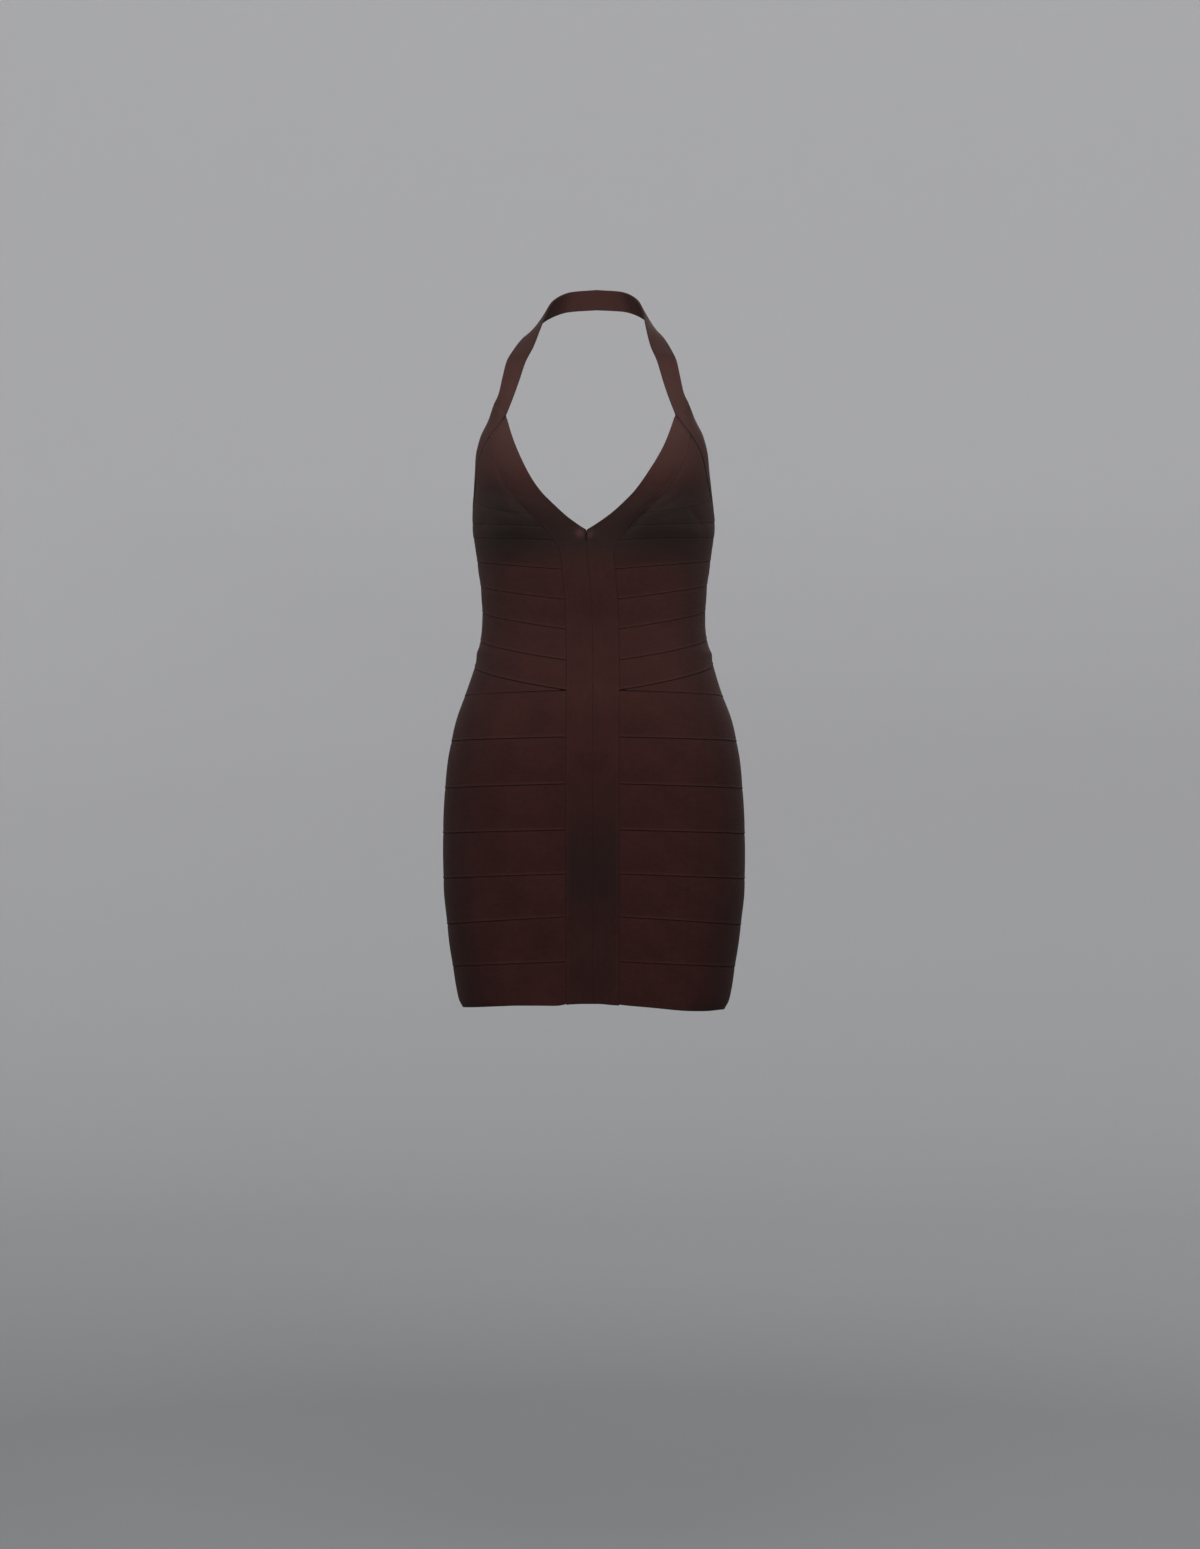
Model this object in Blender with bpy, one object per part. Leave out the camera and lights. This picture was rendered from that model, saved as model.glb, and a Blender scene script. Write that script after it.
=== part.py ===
"""Sleeveless halter dress of narrow sewn bands, as hollow cloth solids.

Units are metres, +Z is up, the front faces -Y. The origin is where the halter strap rests
on the back of the neck. Each band is one closed wall with its own material.
"""
import math
from functools import lru_cache
from typing import Callable, Dict, List, NamedTuple, Sequence, Tuple

import bmesh
import bpy
import numpy as np
from mathutils import Vector

WALL = 0.0020  # thickness of the ribbed cloth at a band's edges
CROWN = 0.0005  # how much further the middle of a band stands out than its edges
SEAM_GAP = 0.0003  # space left between two neighbouring pieces
AXIS_Y = -0.055  # the upright axis of the body, in front of the nape
STRAP_WIDTH = 0.0220
FRONT_BAND_WIDTH = 0.0274  # each of the two upright bands at the centre front
CUP_TOP_Z = -0.1625  # the cup ends here, just under the strap
WEDGE_TIP = 0.04  # share of the front quarter that the hip wedge leaves bare at each end
CLOTH_ROUGHNESS = 0.85
SHARP_EDGE = math.radians(40.0)
RING_STEPS = 28  # wall segments in each half of a band that goes round the body
BAND_ROWS = 2  # wall segments up each band
SETTLE_ROUNDS = 8
LAST_COLUMN = 0.03  # least share between the last two columns of a bust panel
SLOPE_STEP = 0.010  # half the height over which the strap seam's slope is taken
EDGE_EVENING = 8  # rounds in which the run of the strap's free edge is evened out
FACING_STEP = 0.0015  # how far to each side the form is read to find which way it faces
TURN_SAMPLES = 361  # points in half a level cut
SIDE_DEGREES = 90.0
TIGHTEST_CORNER = 0.4  # keeps a very sharp corner from being drawn in too far
CLOTH_COLOUR = (0.040, 0.014, 0.013, 1.0)

Curve = Callable[[float], float]
Place = Tuple[float, float]  # walked distance round the body from the centre front, and height
Grid = List[List[Vector]]


class Section(NamedTuple):
    """One level cut through the worn dress, measured from the body axis to the outer face."""

    z: float
    half_width: float
    side_forward: float  # how far in front of the axis the widest point is
    front: float
    back: float
    squareness: float


SECTIONS = (
    Section(-0.1200, 0.1035, 0.050, 0.0830, 0.0600, 2.60),
    Section(-0.1385, 0.1075, 0.048, 0.0855, 0.0600, 2.60),
    Section(-0.1600, 0.1170, 0.046, 0.0900, 0.0700, 2.60),
    Section(-0.1800, 0.1220, 0.042, 0.0930, 0.0800, 2.60),
    Section(-0.1965, 0.1232, 0.036, 0.0955, 0.0830, 2.55),
    Section(-0.2150, 0.1247, 0.022, 0.0975, 0.0870, 2.50),
    Section(-0.2320, 0.1268, 0.010, 0.0985, 0.0900, 2.45),
    Section(-0.2460, 0.1282, 0.002, 0.0990, 0.0920, 2.40),
    Section(-0.2570, 0.1278, 0.000, 0.0990, 0.0915, 2.40),
    Section(-0.2740, 0.1250, 0.000, 0.0985, 0.0890, 2.35),
    Section(-0.2950, 0.1223, 0.000, 0.0965, 0.0850, 2.30),
    Section(-0.3160, 0.1197, 0.000, 0.0930, 0.0810, 2.30),
    Section(-0.3380, 0.1185, 0.000, 0.0895, 0.0775, 2.25),
    Section(-0.3520, 0.1182, 0.000, 0.0875, 0.0765, 2.25),
    Section(-0.3700, 0.1202, 0.000, 0.0870, 0.0785, 2.25),
    Section(-0.3910, 0.1250, 0.000, 0.0890, 0.0835, 2.25),
    Section(-0.4120, 0.1309, 0.000, 0.0925, 0.0905, 2.28),
    Section(-0.4335, 0.1388, 0.000, 0.0965, 0.0985, 2.30),
    Section(-0.4545, 0.1457, 0.000, 0.0995, 0.1065, 2.30),
    Section(-0.4760, 0.1511, 0.000, 0.1010, 0.1135, 2.30),
    Section(-0.4970, 0.1550, 0.000, 0.1020, 0.1190, 2.30),
    Section(-0.5185, 0.1571, 0.000, 0.1025, 0.1225, 2.30),
    Section(-0.5400, 0.1586, 0.000, 0.1025, 0.1245, 2.30),
    Section(-0.5820, 0.1602, 0.000, 0.1020, 0.1250, 2.32),
    Section(-0.6250, 0.1597, 0.000, 0.1010, 0.1225, 2.35),
    Section(-0.6675, 0.1566, 0.000, 0.0995, 0.1185, 2.35),
    Section(-0.6990, 0.1522, 0.000, 0.0975, 0.1155, 2.35),
    Section(-0.7310, 0.1475, 0.000, 0.0955, 0.1125, 2.35),
    Section(-0.7680, 0.1400, 0.000, 0.0930, 0.1095, 2.35),
)


class CupShape(NamedTuple):
    """The soft forward swell of one cup over the level sections."""

    apex_x: float = 0.082
    apex_z: float = -0.236
    forward: float = 0.028
    reach_x: float = 0.052
    reach_up: float = 0.052
    reach_down: float = 0.038


CUP = CupShape()


class SeamLevel(NamedTuple):
    """One seam round the body: its height at the centre-front band and at the side."""

    name: str
    front_z: float
    side_z: float


SEAM_LEVELS = (
    SeamLevel("under_cup_top", -0.2565, -0.2455),
    SeamLevel("under_cup_low", -0.2705, -0.2612),
    SeamLevel("bodice_1_low", -0.3002, -0.2856),
    SeamLevel("bodice_2_low", -0.3310, -0.3106),
    SeamLevel("bodice_3_low", -0.3618, -0.3382),
    SeamLevel("bodice_4_low", -0.3940, -0.3680),
    SeamLevel("bodice_5_low", -0.4253, -0.3951),
    SeamLevel("skirt_1_top", -0.4258, -0.4303),
    SeamLevel("skirt_1_low", -0.4740, -0.4779),
    SeamLevel("skirt_2_low", -0.5225, -0.5279),
    SeamLevel("skirt_3_low", -0.5700, -0.5755),
    SeamLevel("skirt_4_low", -0.6155, -0.6233),
    SeamLevel("skirt_5_low", -0.6599, -0.6726),
    SeamLevel("skirt_6_low", -0.7065, -0.7164),
    SeamLevel("hem", -0.7487, -0.7600),
)
FRONT_SLOPE = 0.80  # slope of a seam where it leaves the front band, as a share of its rise
SIDE_SLOPE = 0.90  # the same at the side
BACK_RISE = -0.25  # how far it has gone by the centre back, measured from the side


class RingBand(NamedTuple):
    """A band that goes round the body between two seams."""

    name: str
    top: str
    low: str
    first_share: float = 0.0  # how far from the front band it starts


RING_BANDS = (
    RingBand("under_cup_band", "under_cup_top", "under_cup_low"),
    RingBand("bodice_band_1", "under_cup_low", "bodice_1_low"),
    RingBand("bodice_band_2", "bodice_1_low", "bodice_2_low"),
    RingBand("bodice_band_3", "bodice_2_low", "bodice_3_low"),
    RingBand("bodice_band_4", "bodice_3_low", "bodice_4_low"),
    RingBand("bodice_band_5", "bodice_4_low", "bodice_5_low"),
    RingBand("hip_wedge_band", "bodice_5_low", "skirt_1_top", WEDGE_TIP),
    RingBand("skirt_band_1", "skirt_1_top", "skirt_1_low"),
    RingBand("skirt_band_2", "skirt_1_low", "skirt_2_low"),
    RingBand("skirt_band_3", "skirt_2_low", "skirt_3_low"),
    RingBand("skirt_band_4", "skirt_3_low", "skirt_4_low"),
    RingBand("skirt_band_5", "skirt_4_low", "skirt_5_low"),
    RingBand("skirt_band_6", "skirt_5_low", "skirt_6_low"),
    RingBand("skirt_band_7", "skirt_6_low", "hem"),
)


class EdgeStation(NamedTuple):
    """A height on an edge and how far that edge is from the centre plane there."""

    z: float
    x: float


NECKLINE = (
    EdgeStation(-0.1385, 0.0885),
    EdgeStation(-0.1550, 0.0832),
    EdgeStation(-0.1700, 0.0775),
    EdgeStation(-0.1950, 0.0650),
    EdgeStation(-0.2200, 0.0485),
    EdgeStation(-0.2327, 0.0360),
    EdgeStation(-0.2450, 0.0220),
    EdgeStation(-0.2548, 0.0080),
    EdgeStation(-0.2598, 0.0000),
    EdgeStation(-0.8000, 0.0000),
)
NECK_BAND_SEAM = (
    EdgeStation(-0.1597, 0.1045),
    EdgeStation(-0.1697, 0.1022),
    EdgeStation(-0.1810, 0.1000),
    EdgeStation(-0.1985, 0.0935),
    EdgeStation(-0.2110, 0.0865),
    EdgeStation(-0.2191, 0.0812),
    EdgeStation(-0.2270, 0.0742),
    EdgeStation(-0.2437, 0.0585),
    EdgeStation(-0.2552, 0.0465),
    EdgeStation(-0.2668, 0.0362),
    EdgeStation(-0.2760, 0.0302),
    EdgeStation(-0.2860, FRONT_BAND_WIDTH),
    EdgeStation(-0.8000, FRONT_BAND_WIDTH),
)


class ArmStation(NamedTuple):
    """A height on the seam between cup and strap and its angle round the section."""

    z: float
    degrees: float


ARM_SEAM = (
    ArmStation(-0.1200, 44.4),
    ArmStation(-0.1385, 51.6),
    ArmStation(-0.1597, 60.6),
    ArmStation(-0.1735, 66.6),
    ArmStation(-0.1805, 69.6),
    ArmStation(-0.1965, 75.4),
    ArmStation(-0.2150, 80.4),
    ArmStation(-0.2320, 83.9),
    ArmStation(-0.2460, 86.2),
    ArmStation(-0.2600, 88.0),
)


class ArcStation(NamedTuple):
    """The seam under the cup: a share of the way to the side, and the height there."""

    share: float
    z: float


CUP_ARC = (
    ArcStation(0.00, -0.2440),
    ArcStation(0.25, -0.2385),
    ArcStation(0.50, -0.2310),
    ArcStation(0.75, -0.2220),
    ArcStation(1.00, -0.2105),
)


class NeckRow(NamedTuple):
    """A row across the neck band: height on its outer seam and on the neckline."""

    seam_z: float
    neckline_z: float


NECK_ROWS = (
    NeckRow(-0.1597, -0.1385),
    NeckRow(-0.1870, -0.1705),
    NeckRow(-0.2175, -0.2040),
    NeckRow(-0.2440, -0.2300),
    NeckRow(-0.2695, -0.2545),
    NeckRow(-0.2775, -0.2598),
    NeckRow(-0.2850, -0.2700),
    NeckRow(-0.3002, -0.2925),
    NeckRow(-0.3156, -0.3130),
    NeckRow(-0.3310, -0.3310),
    NeckRow(-0.8000, -0.8000),
)
POINT_OF_V = 5  # the row of that table that ends on the point of the V
CUP_ROWS = 8  # wall segments up each cup


class StrapStation(NamedTuple):
    """A row across the free part of the halter strap, from the nape down the chest."""

    upper_x: float
    upper_y: float
    upper_z: float
    lower_x: float
    lower_y: float
    lower_z: float


STRAP_STATIONS = (
    StrapStation(0.0000, 0.0010, 0.0110, 0.0000, 0.0030, -0.0108),
    StrapStation(0.0270, -0.0060, 0.0080, 0.0302, -0.0015, -0.0132),
    StrapStation(0.0458, -0.0245, -0.0040, 0.0535, -0.0220, -0.0243),
    StrapStation(0.0535, -0.0480, -0.0235, 0.0670, -0.0520, -0.0410),
    StrapStation(0.0565, -0.0740, -0.0400, 0.0752, -0.0785, -0.0520),
    StrapStation(0.0612, -0.0975, -0.0600, 0.0832, -0.0965, -0.0660),
    StrapStation(0.0690, -0.1145, -0.0800, 0.0892, -0.1100, -0.0795),
    StrapStation(0.0757, -0.1225, -0.1020, 0.0932, -0.1152, -0.0970),
    StrapStation(0.0820, -0.1270, -0.1200, 0.0972, -0.1168, -0.1145),
)
STRAP_STEPS = 3  # wall segments between two strap stations
STRAP_SHARES = (0.0, 0.5, 1.0)  # points across the strap
BAND_SHARES = (0.0, 1 / 3, 2 / 3, 1.0)  # points across a neck and front band


def smooth_curve(places: Sequence[float], values: Sequence[float]) -> Curve:
    """Make a curve through the points that never overshoots them.

    Args:
        places: where the points are, in rising or falling order.
        values: the value at each.

    Returns:
        A function of place, straight beyond both ends.
    """
    order = np.argsort(places)
    xs = np.asarray(places, float)[order]
    ys = np.asarray(values, float)[order]
    gaps = np.diff(xs)
    slopes = np.diff(ys) / gaps
    grads = np.zeros(len(xs))
    grads[0] = slopes[0]
    grads[-1] = slopes[-1]
    for i in range(1, len(xs) - 1):
        if slopes[i - 1] * slopes[i] > 0:
            heavy = 2 * gaps[i] + gaps[i - 1]
            light = gaps[i] + 2 * gaps[i - 1]
            grads[i] = (heavy + light) / (heavy / slopes[i - 1] + light / slopes[i])

    def value(place: float) -> float:
        if place <= xs[0]:
            return float(ys[0] + grads[0] * (place - xs[0]))
        if place >= xs[-1]:
            return float(ys[-1] + grads[-1] * (place - xs[-1]))
        i = int(np.searchsorted(xs, place)) - 1
        t = (place - xs[i]) / gaps[i]
        rise = t * t * (3 - 2 * t)
        start = gaps[i] * grads[i] * t * (1 - t) ** 2
        end = gaps[i] * grads[i + 1] * t * t * (t - 1)
        return float(ys[i] + (ys[i + 1] - ys[i]) * rise + start + end)

    return value


def table_curve(rows: Sequence[NamedTuple], place: str, value: str) -> Curve:
    """Make a smooth curve from two named columns of a table."""
    places = [getattr(row, place) for row in rows]
    values = [getattr(row, value) for row in rows]
    return smooth_curve(places, values)


HALF_WIDTH = table_curve(SECTIONS, "z", "half_width")
SIDE_FORWARD = table_curve(SECTIONS, "z", "side_forward")
FRONT = table_curve(SECTIONS, "z", "front")
BACK = table_curve(SECTIONS, "z", "back")
SQUARENESS = table_curve(SECTIONS, "z", "squareness")
NECKLINE_X = table_curve(NECKLINE, "z", "x")
NECK_SEAM_X = table_curve(NECK_BAND_SEAM, "z", "x")
ARM_DEGREES = table_curve(ARM_SEAM, "z", "degrees")
ARC_Z = table_curve(CUP_ARC, "share", "z")
NECKLINE_ROW_Z = table_curve(NECK_ROWS, "seam_z", "neckline_z")
TURN = np.linspace(0.0, math.pi, TURN_SAMPLES)


@lru_cache(maxsize=None)
def ring(z: float) -> Tuple[np.ndarray, np.ndarray, np.ndarray]:
    """Cut the form at one height, right half only, from centre front to centre back.

    Args:
        z: the height of the cut.

    Returns:
        Distance walked along the cut, sideways distance and forward distance, each an array.
    """
    power = 2.0 / SQUARENESS(z)
    sideways = HALF_WIDTH(z) * np.sin(TURN) ** power
    lean = SIDE_FORWARD(z)
    cosine = np.cos(TURN)
    reach = np.where(cosine > 0, FRONT(z) - lean, BACK(z) + lean)
    forward = lean + np.sign(cosine) * reach * np.abs(cosine) ** power
    reach_z = CUP.reach_up if z > CUP.apex_z else CUP.reach_down
    swell = np.exp(-(((sideways - CUP.apex_x) / CUP.reach_x) ** 2) - ((z - CUP.apex_z) / reach_z) ** 2)
    frontal = np.clip((forward - lean) / (FRONT(z) - lean), 0.0, 1.0)
    forward = forward + CUP.forward * swell * np.sqrt(frontal)
    walked = np.concatenate(([0.0], np.cumsum(np.hypot(np.diff(sideways), np.diff(forward)))))
    return walked, sideways, forward


def walk_to_angle(z: float, degrees: float) -> float:
    """Tell how far along the cut at one height an angle is."""
    return float(np.interp(math.radians(degrees), TURN, ring(z)[0]))


def walk_to_x(z: float, x: float) -> float:
    """Tell how far along the front of the cut a sideways distance is reached."""
    walked, sideways, _ = ring(z)
    quarter = len(TURN) // 2 + 1
    return float(np.interp(x, sideways[:quarter], walked[:quarter]))


def flipped(point: Vector) -> Vector:
    """Reflect a point in the centre plane."""
    return Vector((-point.x, point.y, point.z))


def surface(walk: float, z: float) -> Vector:
    """Give the outer face of the dress at a walked distance and a height."""
    if walk < 0:
        return flipped(surface(-walk, z))
    walked, sideways, forward = ring(z)
    x = float(np.interp(walk, walked, sideways))
    y = AXIS_Y - float(np.interp(walk, walked, forward))
    beyond = walk - walked[-1]
    return Vector((x - max(beyond, 0.0), y, z))


def facing(walk: float, z: float) -> Vector:
    """Give the direction straight out of the dress at a place on it."""
    along = surface(walk + FACING_STEP, z) - surface(walk - FACING_STEP, z)
    up = surface(walk, z + FACING_STEP) - surface(walk, z - FACING_STEP)
    return along.cross(up).normalized()


def seam_walk(z: float) -> float:
    """Walked distance of the neck and centre-front band's outer seam."""
    return walk_to_x(z, NECK_SEAM_X(z))


def arm_walk(z: float) -> float:
    """Walked distance of the seam between cup and strap."""
    return walk_to_angle(z, ARM_DEGREES(z))


def share_walk(share: float, z: float) -> float:
    """Turn a share round the body (0 front band, 1 side, 2 centre back) into a distance."""
    side = walk_to_angle(z, SIDE_DEGREES)
    if share <= 1.0:
        front = seam_walk(z)
        return front + share * (side - front)
    return side + (share - 1.0) * (ring(z)[0][-1] - side)


def seam_height(level: SeamLevel) -> Curve:
    """Make the height of a seam as a function of the share round the body."""
    rise = level.side_z - level.front_z

    def hermite(t: float, low: float, high: float, slope_low: float, slope_high: float) -> float:
        ease = t * t * (3 - 2 * t)
        return low + (high - low) * ease + slope_low * t * (1 - t) ** 2 + slope_high * t * t * (t - 1)

    def height(share: float) -> float:
        if share <= 1.0:
            return hermite(share, level.front_z, level.side_z, FRONT_SLOPE * rise, SIDE_SLOPE * rise)
        back_z = level.side_z + BACK_RISE * rise
        return hermite(share - 1.0, level.side_z, back_z, SIDE_SLOPE * rise, 0.0)

    return height


SEAMS: Dict[str, Curve] = {level.name: seam_height(level) for level in SEAM_LEVELS}


def inset(grid: np.ndarray, sides: str) -> np.ndarray:
    """Draw the border of a flat grid in by half a seam gap.

    Args:
        grid: rows by columns of (walk, z), rows going up, columns going round.
        sides: which borders move, from the letters l, r, b and t.

    Returns:
        The moved grid.
    """
    rows, columns = grid.shape[:2]
    moved = grid.copy()
    for i in range(rows):
        for j in range(columns):
            pushes = []
            along = grid[i, min(j + 1, columns - 1)] - grid[i, max(j - 1, 0)]
            up = grid[min(i + 1, rows - 1), j] - grid[max(i - 1, 0), j]
            along_left = np.array((-along[1], along[0])) / np.hypot(*along)
            up_right = np.array((up[1], -up[0])) / np.hypot(*up)
            if j == 0 and "l" in sides:
                pushes.append(up_right)
            if j == columns - 1 and "r" in sides:
                pushes.append(-up_right)
            if i == 0 and "b" in sides:
                pushes.append(along_left)
            if i == rows - 1 and "t" in sides:
                pushes.append(-along_left)
            if len(pushes) == 2:
                share = 1.0 + float(pushes[0] @ pushes[1])
                moved[i, j] += (pushes[0] + pushes[1]) * SEAM_GAP / 2 / max(share, TIGHTEST_CORNER)
            elif pushes:
                moved[i, j] += pushes[0] * SEAM_GAP / 2
    return moved


def crown(share: float) -> float:
    """Tell how far a band stands out at a share of its width."""
    return CROWN * 4.0 * share * (1.0 - share)


def on_form(grid: np.ndarray, raised: np.ndarray) -> Tuple[Grid, Grid]:
    """Lift a flat grid of (walk, z) onto the dress.

    Args:
        grid: rows by columns of (walk, z).
        raised: how far each point stands out.

    Returns:
        The outer points and the inner points, which stay plain.
    """
    outer: Grid = []
    inner: Grid = []
    for row, raised_row in zip(grid, raised):
        outer.append([])
        inner.append([])
        for (walk, z), lift in zip(row, raised_row):
            base = surface(float(walk), float(z))
            normal = facing(float(walk), float(z))
            outer[-1].append(base + normal * float(lift))
            inner[-1].append(base - normal * WALL)
    return outer, inner


def wall_object(name: str, outer: Grid, inner: Grid) -> None:
    """Make one closed wall between two grids of points, with its own material.

    Args:
        name: the node's name.
        outer: rows by columns on the outer face.
        inner: the same on the inner face.
    """
    rows = len(outer)
    columns = len(outer[0])
    mesh = bpy.data.meshes.new(name)
    shape = bmesh.new()
    out = [[shape.verts.new(p) for p in row] for row in outer]
    back = [[shape.verts.new(p) for p in row] for row in inner]
    for i in range(rows - 1):
        for j in range(columns - 1):
            shape.faces.new((out[i][j], out[i][j + 1], out[i + 1][j + 1], out[i + 1][j]))
            shape.faces.new((back[i][j], back[i + 1][j], back[i + 1][j + 1], back[i][j + 1]))
    border = [(0, j) for j in range(columns)]
    border += [(i, columns - 1) for i in range(1, rows)]
    border += [(rows - 1, j) for j in range(columns - 2, -1, -1)]
    border += [(i, 0) for i in range(rows - 2, 0, -1)]
    for (i, j), (k, m) in zip(border, border[1:] + border[:1]):
        shape.faces.new((out[k][m], out[i][j], back[i][j], back[k][m]))
    bmesh.ops.recalc_face_normals(shape, faces=shape.faces)
    shape.to_mesh(mesh)
    shape.free()
    mesh.shade_smooth()
    mesh.set_sharp_from_angle(angle=SHARP_EDGE)
    mesh.materials.append(cloth_material(name))
    thing = bpy.data.objects.new(name, mesh)
    bpy.context.scene.collection.objects.link(thing)


def cloth_material(name: str) -> bpy.types.Material:
    """Make the matte dark knit of one piece."""
    material = bpy.data.materials.new(name + "_cloth")
    material.use_nodes = True
    shader = material.node_tree.nodes["Principled BSDF"]
    shader.inputs["Base Color"].default_value = CLOTH_COLOUR
    shader.inputs["Roughness"].default_value = CLOTH_ROUGHNESS
    shader.inputs["Metallic"].default_value = 0.0
    return material


def mirrored(points: Grid) -> Grid:
    """Reflect a grid in the centre plane, keeping the way its columns turn."""
    return [[flipped(p) for p in reversed(row)] for row in points]


def build_pair(name: str, grid: np.ndarray, raised: np.ndarray) -> None:
    """Make a piece on the +X side and its mirror image."""
    outer, inner = on_form(grid, raised)
    wall_object(name + "_right", outer, inner)
    wall_object(name + "_left", mirrored(outer), mirrored(inner))


def ring_shares(first: float) -> List[float]:
    """List the shares round the right half, from the front end of a band to the back."""
    return [first + (2.0 - first) * k / RING_STEPS for k in range(RING_STEPS + 1)]


def build_ring_band(band: RingBand) -> None:
    """Make one band that runs from one front band round the back to the other."""
    low = SEAMS[band.low]
    top = SEAMS[band.top]
    shares = ring_shares(band.first_share)
    grid = np.zeros((BAND_ROWS + 1, len(shares), 2))
    raised = np.zeros(grid.shape[:2])
    for i in range(BAND_ROWS + 1):
        for j, share in enumerate(shares):
            z = low(share) + (top(share) - low(share)) * i / BAND_ROWS
            grid[i, j] = (share_walk(share, z), z)
            raised[i, j] = crown(i / BAND_ROWS)
    faces = on_form(inset(grid, "lbt"), raised)
    for face in faces:
        for row in face:
            row[-1].x = 0.0
            row += [flipped(p) for p in reversed(row[:-1])]
    wall_object(band.name, *faces)


def between_seams(share: float, row: float, low: Curve, top: Curve) -> Place:
    """Place a point of a front panel that ends at the strap seam.

    The height and the distance round the body depend on each other, so they are settled
    together in a few rounds.

    Args:
        share: 0 at the neck band, 1 at the strap seam.
        row: 0 on the lower seam, 1 on the upper one.
        low: height of the lower seam against the share round the body.
        top: height of the upper seam, against the same.

    Returns:
        The walked distance and the height.
    """
    round_share = share
    walk = 0.0
    z = 0.0
    for _ in range(SETTLE_ROUNDS):
        z = low(round_share) + (top(round_share) - low(round_share)) * row
        start = seam_walk(z)
        walk = start + share * (arm_walk(z) - start)
        round_share = share_at(walk, z)
    return walk, z


def share_at(walk: float, z: float) -> float:
    """Turn a walked distance on the front into a share of the way to the side."""
    start = seam_walk(z)
    return (walk - start) / (walk_to_angle(z, SIDE_DEGREES) - start)


def cup_top(share: float) -> float:
    """Give the height of the cup's cut-off tip, the same all along."""
    return CUP_TOP_Z


def bust_shares() -> List[float]:
    """List the columns of the cups and upper bust bands, in step with the band below them."""
    end = share_at(*between_seams(1.0, 0.0, SEAMS["under_cup_top"], ARC_Z))
    inner = [share for share in ring_shares(0.0) if share < end - LAST_COLUMN]
    return [share / end for share in inner] + [1.0]


def cup_heights() -> List[float]:
    """List the heights of the cup's rows on the neck band seam, from its arc to its top."""
    low = ARC_Z(0.0)
    return [low + (CUP_TOP_Z - low) * k / CUP_ROWS for k in range(CUP_ROWS + 1)]


def build_bust_pair(name: str, low: Curve, top: Curve, steps: int, standing: float) -> None:
    """Make a pair of panels between the neck band and the strap.

    Args:
        name: the node's name without its side.
        low: height of the lower seam against the share round the body.
        top: height of the upper seam, against the same.
        steps: wall segments up the panel.
        standing: 1 to raise its middle like a band's, 0 to leave it plain.
    """
    shares = bust_shares()
    grid = np.zeros((steps + 1, len(shares), 2))
    raised = np.zeros(grid.shape[:2])
    for i in range(steps + 1):
        for j, share in enumerate(shares):
            grid[i, j] = between_seams(share, i / steps, low, top)
            raised[i, j] = standing * crown(i / steps)
    build_pair(name, inset(grid, "lrbt"), raised)


def front_band_heights() -> List[float]:
    """List the height of each row of a neck and front band on its outer seam, going up."""
    levels = [ARC_Z(0.0)] + [level.front_z for level in SEAM_LEVELS if level.name != "skirt_1_top"]
    heights = cup_heights()[1:]
    for high, low in zip(levels, levels[1:]):
        heights += [high, (high + low) / 2]
    heights += [levels[-1], NECK_ROWS[POINT_OF_V].seam_z]
    return sorted(heights)


def build_front_bands() -> None:
    """Make the two bands that follow the neckline and run on down the centre front."""
    heights = front_band_heights()
    grid = np.zeros((len(heights) + 1, len(BAND_SHARES), 2))
    raised = np.zeros(grid.shape[:2])
    top = NECK_ROWS[0]
    for j, share in enumerate(BAND_SHARES):
        raised[:, j] = crown(share)
        for i, seam_z in enumerate(heights):
            inner_z = NECKLINE_ROW_Z(seam_z)
            inner_walk = walk_to_x(inner_z, max(NECKLINE_X(inner_z), 0.0))
            walk = inner_walk + share * (seam_walk(seam_z) - inner_walk)
            grid[i, j] = (walk, inner_z + share * (seam_z - inner_z))
        z = top.neckline_z + (top.seam_z - top.neckline_z) * share
        grid[-1, j] = (arm_walk(z), z)
    build_pair("neck_front_band", inset(grid, "lrt"), raised)


def strap_seam_heights() -> List[float]:
    """List the heights of the strap rows sewn to the neck band, cup and wedge, going down."""
    top = NECK_ROWS[0]
    low = SEAMS["under_cup_top"]
    heights = [top.neckline_z + (top.seam_z - top.neckline_z) * share for share in BAND_SHARES]
    for k in range(CUP_ROWS, -1, -1):
        heights.append(between_seams(1.0, k / CUP_ROWS, ARC_Z, cup_top)[1])
    for k in range(BAND_ROWS - 1, -1, -1):
        heights.append(between_seams(1.0, k / BAND_ROWS, low, ARC_Z)[1])
    return heights


def armhole_row(z: float) -> List[Place]:
    """Place the points across the strap square to its seam at a height on that seam."""
    drift = arm_walk(z - SLOPE_STEP) - arm_walk(z + SLOPE_STEP)
    fall = 2 * SLOPE_STEP
    length = math.hypot(drift, fall)
    row = []
    for share in STRAP_SHARES:
        width = SEAM_GAP / 2 + share * STRAP_WIDTH
        row.append((arm_walk(z) + width * fall / length, z + width * drift / length))
    return row


def underarm_row(z: float) -> List[Place]:
    """Place the points of the strap's end, along the top of the under-cup band."""
    row = []
    for share in STRAP_SHARES:
        walk = arm_walk(z) + SEAM_GAP / 2 + share * STRAP_WIDTH
        row.append((walk, SEAMS["under_cup_top"](share_at(walk, z)) + SEAM_GAP / 2))
    return row


def evened(rows: np.ndarray) -> np.ndarray:
    """Even out the strap's free edge, leaving its ends and its seam where they are."""
    even = rows
    for _ in range(EDGE_EVENING):
        before = np.concatenate((2 * even[:1] - even[1:2], even[:-1]))
        after = np.concatenate((even[1:], 2 * even[-1:] - even[-2:-1]))
        even = (before + 2 * even + after) / 4
    return rows + (even - rows) * np.array(STRAP_SHARES)[None, :, None]


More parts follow.
